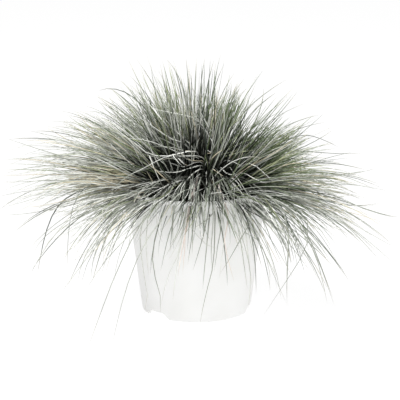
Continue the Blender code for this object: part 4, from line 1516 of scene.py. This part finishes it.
def arched_piece(name, drawn, young, dry, pale, shade):
    """A piece of arched leaves whose kinds and paleness are given leaf by leaf."""
    count = len(drawn)
    draw = rng.uniform(0, 1, count)
    kind = np.where(draw < young, YOUNG, np.where(draw < young + dry, DRY, WAXED))
    tint = kind + KIND_SPAN * np.clip(pale + rng.normal(0, PALE_PLAY, count), *PALE_LIMITS)
    width = LEAF_WIDTH * rng.uniform(*ARCHED_WIDTH, count)
    mesh = leaf_mesh(name, drawn, width, tint, random_twists(count), shade=shade)
    dress(name, mesh, waxed_leaf, "leaf")


print("an arched leaf is drawn at most", DRAWINGS, "times")

# %% [markdown]
# ## The sprays
#
# A row gives a group's number of leaves, how far its tips lie in front of the pot's axis in
# mm, the picture point in the middle of its tips and their spread, the shares of young and
# dry leaves, how pale the leaves are, and how far up their feet are painted with shade. The
# leaves root like the long ones: the further out a tip is, the nearer to the crown's edge.

# %% Sprays
SPRAYS = [
    # leaves, in front, tips at, spread, young, dry, pale, depth of painted shade
    (52, (-40, 5), (80, 131), (24, 10), 0.25, 0.10, 0.80, 1.1),
    (72, (0, 30), (44, 164), (24, 13), 0.16, 0.07, 0.74, 1.5),
    (78, (10, 40), (82, 182), (20, 8), 0.05, 0.86, 0.72, 1.0),
    (34, (20, 60), (54, 209), (28, 10), 0.06, 0.14, 0.86, 1.0),
    (35, (40, 80), (80, 234), (26, 14), 0.04, 0.10, 0.78, 0.8),
    (55, (30, 70), (112, 213), (18, 8), 0.10, 0.06, 0.66, 1.5),
    (100, (-60, -10), (127, 108), (18, 12), 0.40, 0.03, 0.60, 1.3),
    (65, (-50, 0), (146, 96), (13, 9), 0.30, 0.04, 0.68, 1.1),
    (45, (-60, -10), (168, 90), (12, 9), 0.35, 0.04, 0.64, 1.1),
    (110, (-40, 10), (93, 126), (20, 9), 0.28, 0.05, 0.76, 1.0),
    (18, (10, 50), (36, 180), (20, 12), 0.05, 0.12, 0.82, 0.8),
    (48, (10, 50), (346, 186), (18, 12), 0.34, 0.22, 0.70, 0.9),
    (25, (-60, -10), (160, 74), (16, 8), 0.30, 0.03, 0.70, 1.0),
    (40, (25, 60), (145, 190), (11, 6), 0.05, 0.06, 0.62, 1.8),
    (14, (20, 60), (350, 214), (20, 12), 0.18, 0.14, 0.86, 0.9),
    (60, (-10, 40), (308, 161), (16, 14), 0.45, 0.14, 0.66, 1.0),
    (110, (-40, 10), (291, 136), (12, 8), 0.70, 0.02, 0.58, 1.2),
    (110, (-20, 30), (259, 149), (19, 10), 0.90, 0.01, 0.40, 2.1),
    (18, (30, 60), (126, 199), (14, 6), 0.10, 0.05, 0.80, 0.9),
    (112, (-60, -20), (228, 97), (12, 8), 0.80, 0.02, 0.50, 1.3),
    (120, (-30, 10), (282, 150), (14, 14), 0.75, 0.02, 0.62, 1.2),
    (32, (10, 60), (340, 219), (24, 13), 0.10, 0.16, 0.95, 0.8),
    (12, (60, 90), (296, 254), (20, 14), 0.10, 0.04, 0.70, 1.1),
    (18, (10, 60), (20, 197), (14, 12), 0.05, 0.10, 0.76, 0.9),
    (22, (50, 85), (98, 258), (24, 16), 0.04, 0.08, 0.76, 0.8),
    (32, (-10, 30), (88, 152), (16, 6), 0.45, 0.03, 0.55, 1.6),
    (28, (10, 65), (135, 150), (36, 22), 0.12, 0.04, 0.72, 1.6),
    (25, (0, 60), (252, 152), (32, 22), 0.25, 0.03, 0.66, 1.4),
    (15, (-40, 30), (196, 112), (22, 14), 0.10, 0.03, 0.80, 1.0),
    (85, (-10, 25), (187, 106), (16, 9), 0.08, 0.02, 0.76, 0.9),
]
FARTHEST_TIP = 1.8
SPRAY_RISE, SPRAY_FALL, SPRAY_DROOP, SPRAY_SWAY = 0.85, 1.12, 0.1, 0.12
SHADE_RANGE = (0.75, 1.35)
rng = np.random.default_rng(17)

group, tips = [], []
for number, (count, (near, far), (x, y), (x_play, y_play), *_) in enumerate(SPRAYS):
    for _ in range(count):
        in_front = rng.uniform(near, far) * MM
        beside, above = np.clip(rng.normal(0, 1, 2), -FARTHEST_TIP, FARTHEST_TIP)
        tips.append(seen_at(x + x_play * beside, y + y_play * above, in_front))
        group.append(number)
tips = np.array(tips)
spray_root = on_crown(places_under(tips) + rng.normal(0, ROOT_PLAY, (len(tips), 2)))
rises = tips - spray_root
chord_lean = np.arctan2(np.hypot(rises[:, 0], rises[:, 1]), rises[:, 2])
drawn, numbers = arched(
    spray_root, tips, SPRAY_RISE * chord_lean, SPRAY_FALL * chord_lean + SPRAY_DROOP, SPRAY_SWAY
)
young, dry, pale, deep = np.array([row[4:] for row in SPRAYS])[np.array(group)[numbers]].T
print("spray leaves:", len(drawn), "of", len(tips))
# painted shade at the feet, with a little play leaf by leaf
deep = deep * rng.uniform(*SHADE_RANGE, len(drawn))
arched_piece("spray_leaves", drawn, young, dry, pale, deep)

# %% [markdown]
# ## The front fringe
#
# In front the clump is parted. Leaves rise from the parting and hang over the rim as a
# fringe. Most of them end just under the rim, and fewer and fewer hang further down. The
# fringe lies nearest to the viewer in its middle.

# %% Front fringe
FRONT_ARCHES = 118
PARTING_ROOT = np.array([3.0, 4.0]) * MM
PARTING_SPREAD = 6.0 * MM
FRINGE_MIDDLE = 185.0
FRINGE_WIDTH = 40.0
FRINGE_TOP = 202.0
FRINGE_DROP, MOST_DROP = 22.0, 98.0
FRINGE_SIDE = 110.0
FRINGE_FRONT, SIDE_BACK = (78, 108), 0.55
FRINGE_RISE = (math.radians(30), math.radians(70))
FRINGE_FALL = (math.radians(100), math.radians(145))
FRINGE_SWAY = 0.3
FRINGE_YOUNG, FRINGE_DRY, FRINGE_PALE, FRINGE_SHADE = 0.08, 0.02, 0.40, (2.2, 4.4)

tip_x = rng.normal(FRINGE_MIDDLE, FRINGE_WIDTH, FRONT_ARCHES)
tip_y = FRINGE_TOP + np.minimum(rng.exponential(FRINGE_DROP, FRONT_ARCHES), MOST_DROP)
aside = np.clip(np.abs(tip_x - FRINGE_MIDDLE) / FRINGE_SIDE, 0.0, 1.0)
tip_front = rng.uniform(*FRINGE_FRONT, FRONT_ARCHES) * (1.0 - SIDE_BACK * aside ** 2)
tips = np.array([seen_at(x, y, front * MM) for x, y, front in zip(tip_x, tip_y, tip_front)])
front_root = on_crown(PARTING_ROOT + rng.normal(0, PARTING_SPREAD, (FRONT_ARCHES, 2)))
first = rng.uniform(*FRINGE_RISE, FRONT_ARCHES)
last = rng.uniform(*FRINGE_FALL, FRONT_ARCHES)
drawn, _ = arched(front_root, tips, first, last, FRINGE_SWAY)
print("front arches:", len(drawn), "of", FRONT_ARCHES)
# painted shade on the lower part of each fringe leaf, where it crosses over the crown
shade = rng.uniform(*FRINGE_SHADE, len(drawn))
arched_piece("front_leaves", drawn, FRINGE_YOUNG, FRINGE_DRY, FRINGE_PALE, shade)

# %% [markdown]
# ## The crown
#
# The crown is the clump's low, woody heart. Years of old leaf bases are packed on it, brown
# and fibrous, and the shoots come up between them. It could be sculpted, but almost all of
# it is hidden, so its dome is turned in rings like the compost and roughened by noise.

# %% Crown
CROWN_RINGS = 22
CROWN_STEPS = 96
CROWN_LUMP = 6.0 * MM
CROWN_LUMP_HEIGHT = 0.35 * MM
CROWN_SUNK = 0.5 * MM
SKIRT_HEIGHT = 0.3 * MM
crown_radii = np.linspace(0.02, 1.0, CROWN_RINGS) * CROWN_RADIUS
crown_points = turned_points(crown_radii, crown_height(crown_radii), CROWN_STEPS)
crown_points[:, 2] += smooth_noise(crown_points, CROWN_LUMP, 3) * CROWN_LUMP_HEIGHT - CROWN_SUNK
skirt = crown_points[-CROWN_STEPS:].copy()
skirt[:, 2] = SOIL_LEVEL + SKIRT_HEIGHT
crown_points = np.concatenate([crown_points, skirt])
crown_mesh = smooth_mesh("crown_mound", crown_points, ring_faces(CROWN_RINGS + 1, CROWN_STEPS))
print("crown's top at", round(crown_points[:, 2].max() / MM, 1), "mm")

# %% [markdown]
# ## The crown's finish
#
# Old sheaths rot slowly to a dark brown felt, here painted near black, as painted shade for
# the deep shade under the leaves. Strands of it, as wide as a sheath, differ in tone and
# stand up a little, and nothing on it shines.

# %% Packed sheaths
SHEATH_WIDTH = 1.5 * MM

sheath_finish, tree, shader = new_finish("packed dry leaf sheaths")
place = add_node(tree, "ShaderNodeTexCoord").outputs["Object"]
strands = add_node(
    tree, "ShaderNodeTexNoise", {"Vector": place, "Scale": 1.0 / SHEATH_WIDTH, "Detail": 4.0}
)
# dark brown painted near black: painted shade under the leaves
tone = add_node(
    tree, "ShaderNodeValToRGB", {"Fac": strands.outputs["Fac"]},
    [(0.3, "#0C0A07"), (0.5, "#1A1610"), (0.75, "#332C1E")],
)
tree.links.new(tone.outputs["Color"], shader.inputs["Base Color"])
bump = add_node(
    tree, "ShaderNodeBump",
    {"Height": strands.outputs["Fac"], "Strength": 0.7, "Distance": 0.6 * MM},
)
tree.links.new(bump.outputs["Normal"], shader.inputs["Normal"])
shader.inputs["Roughness"].default_value = 0.9
dress("crown_mound", crown_mesh, sheath_finish, "old_sheaths", "crown")

# %% [markdown]
# ## Old sheaths
#
# Short stubs of old sheaths are set all over the crown, wider than a leaf and blunt. They
# lean out like the leaves do and fill the dark between the shoots. They are swept by the
# same function as the leaves, with half the rings, because they are short.

# %% Old sheaths
STUBS = 1100
STUB_DEPTH = 1.2 * MM
STUB_LEAN_PLAY, MOST_STUB_LEAN = math.radians(14), math.radians(80)
STUB_BEND, MOST_STUB_BEND = math.radians(25), math.radians(95)
STUB_LENGTH = (7, 18)
STUB_WIDTH = (1.0, 1.9)
STUB_TURN_PLAY = 0.35
STUB_ROLL_PLAY = 0.6
rng = np.random.default_rng(31)
stub_share = np.sqrt(rng.uniform(0, 1, STUBS))
stub_angle = rng.uniform(0, math.tau, STUBS)
stub_radius = stub_share * (CROWN_RADIUS - ROOT_DEPTH)
stub_root = np.stack([
    stub_radius * np.cos(stub_angle),
    stub_radius * np.sin(stub_angle),
    crown_height(stub_radius) - STUB_DEPTH,
], axis=1)
first = START_LEAN * np.sin(0.5 * math.pi * stub_share)
first = np.clip(first + rng.normal(0, STUB_LEAN_PLAY, STUBS), 0, MOST_STUB_LEAN)
last = np.clip(first + rng.uniform(0, STUB_BEND, STUBS), 0, MOST_STUB_BEND)
stub_length = rng.uniform(*STUB_LENGTH, STUBS) * MM
stub_turn = stub_angle + rng.normal(0, STUB_TURN_PLAY, STUBS)
stub_paths = grown_paths(
    stub_root, stub_turn, first, last, np.ones(STUBS), stub_length, np.zeros(STUBS)
)
stub_paths = stub_paths[clears_pot(stub_paths)][:, ::2]
stub_count = len(stub_paths)
stub_mesh = leaf_mesh(
    "old_sheaths",
    stub_paths,
    rng.uniform(*STUB_WIDTH, stub_count) * MM,
    rng.uniform(0.0, 1.0, stub_count),
    np.stack([rng.normal(0, STUB_ROLL_PLAY, stub_count), np.zeros(stub_count)], axis=1),
    taper=6.0,
)
# near-black ramp and painted shade at each stub's foot: painted shade among the shoots, over the
# sheaths' own dark brown
old_sheath = leaf_finish(
    "old fibrous sheath",
    [(0.0, "#191C14"), (0.5, "#2A2D20"), (1.0, "#484A38")],
    "#0D0F0A",
    "#3C3A2B",
)
dress("old_sheaths", stub_mesh, old_sheath, "old_sheaths")
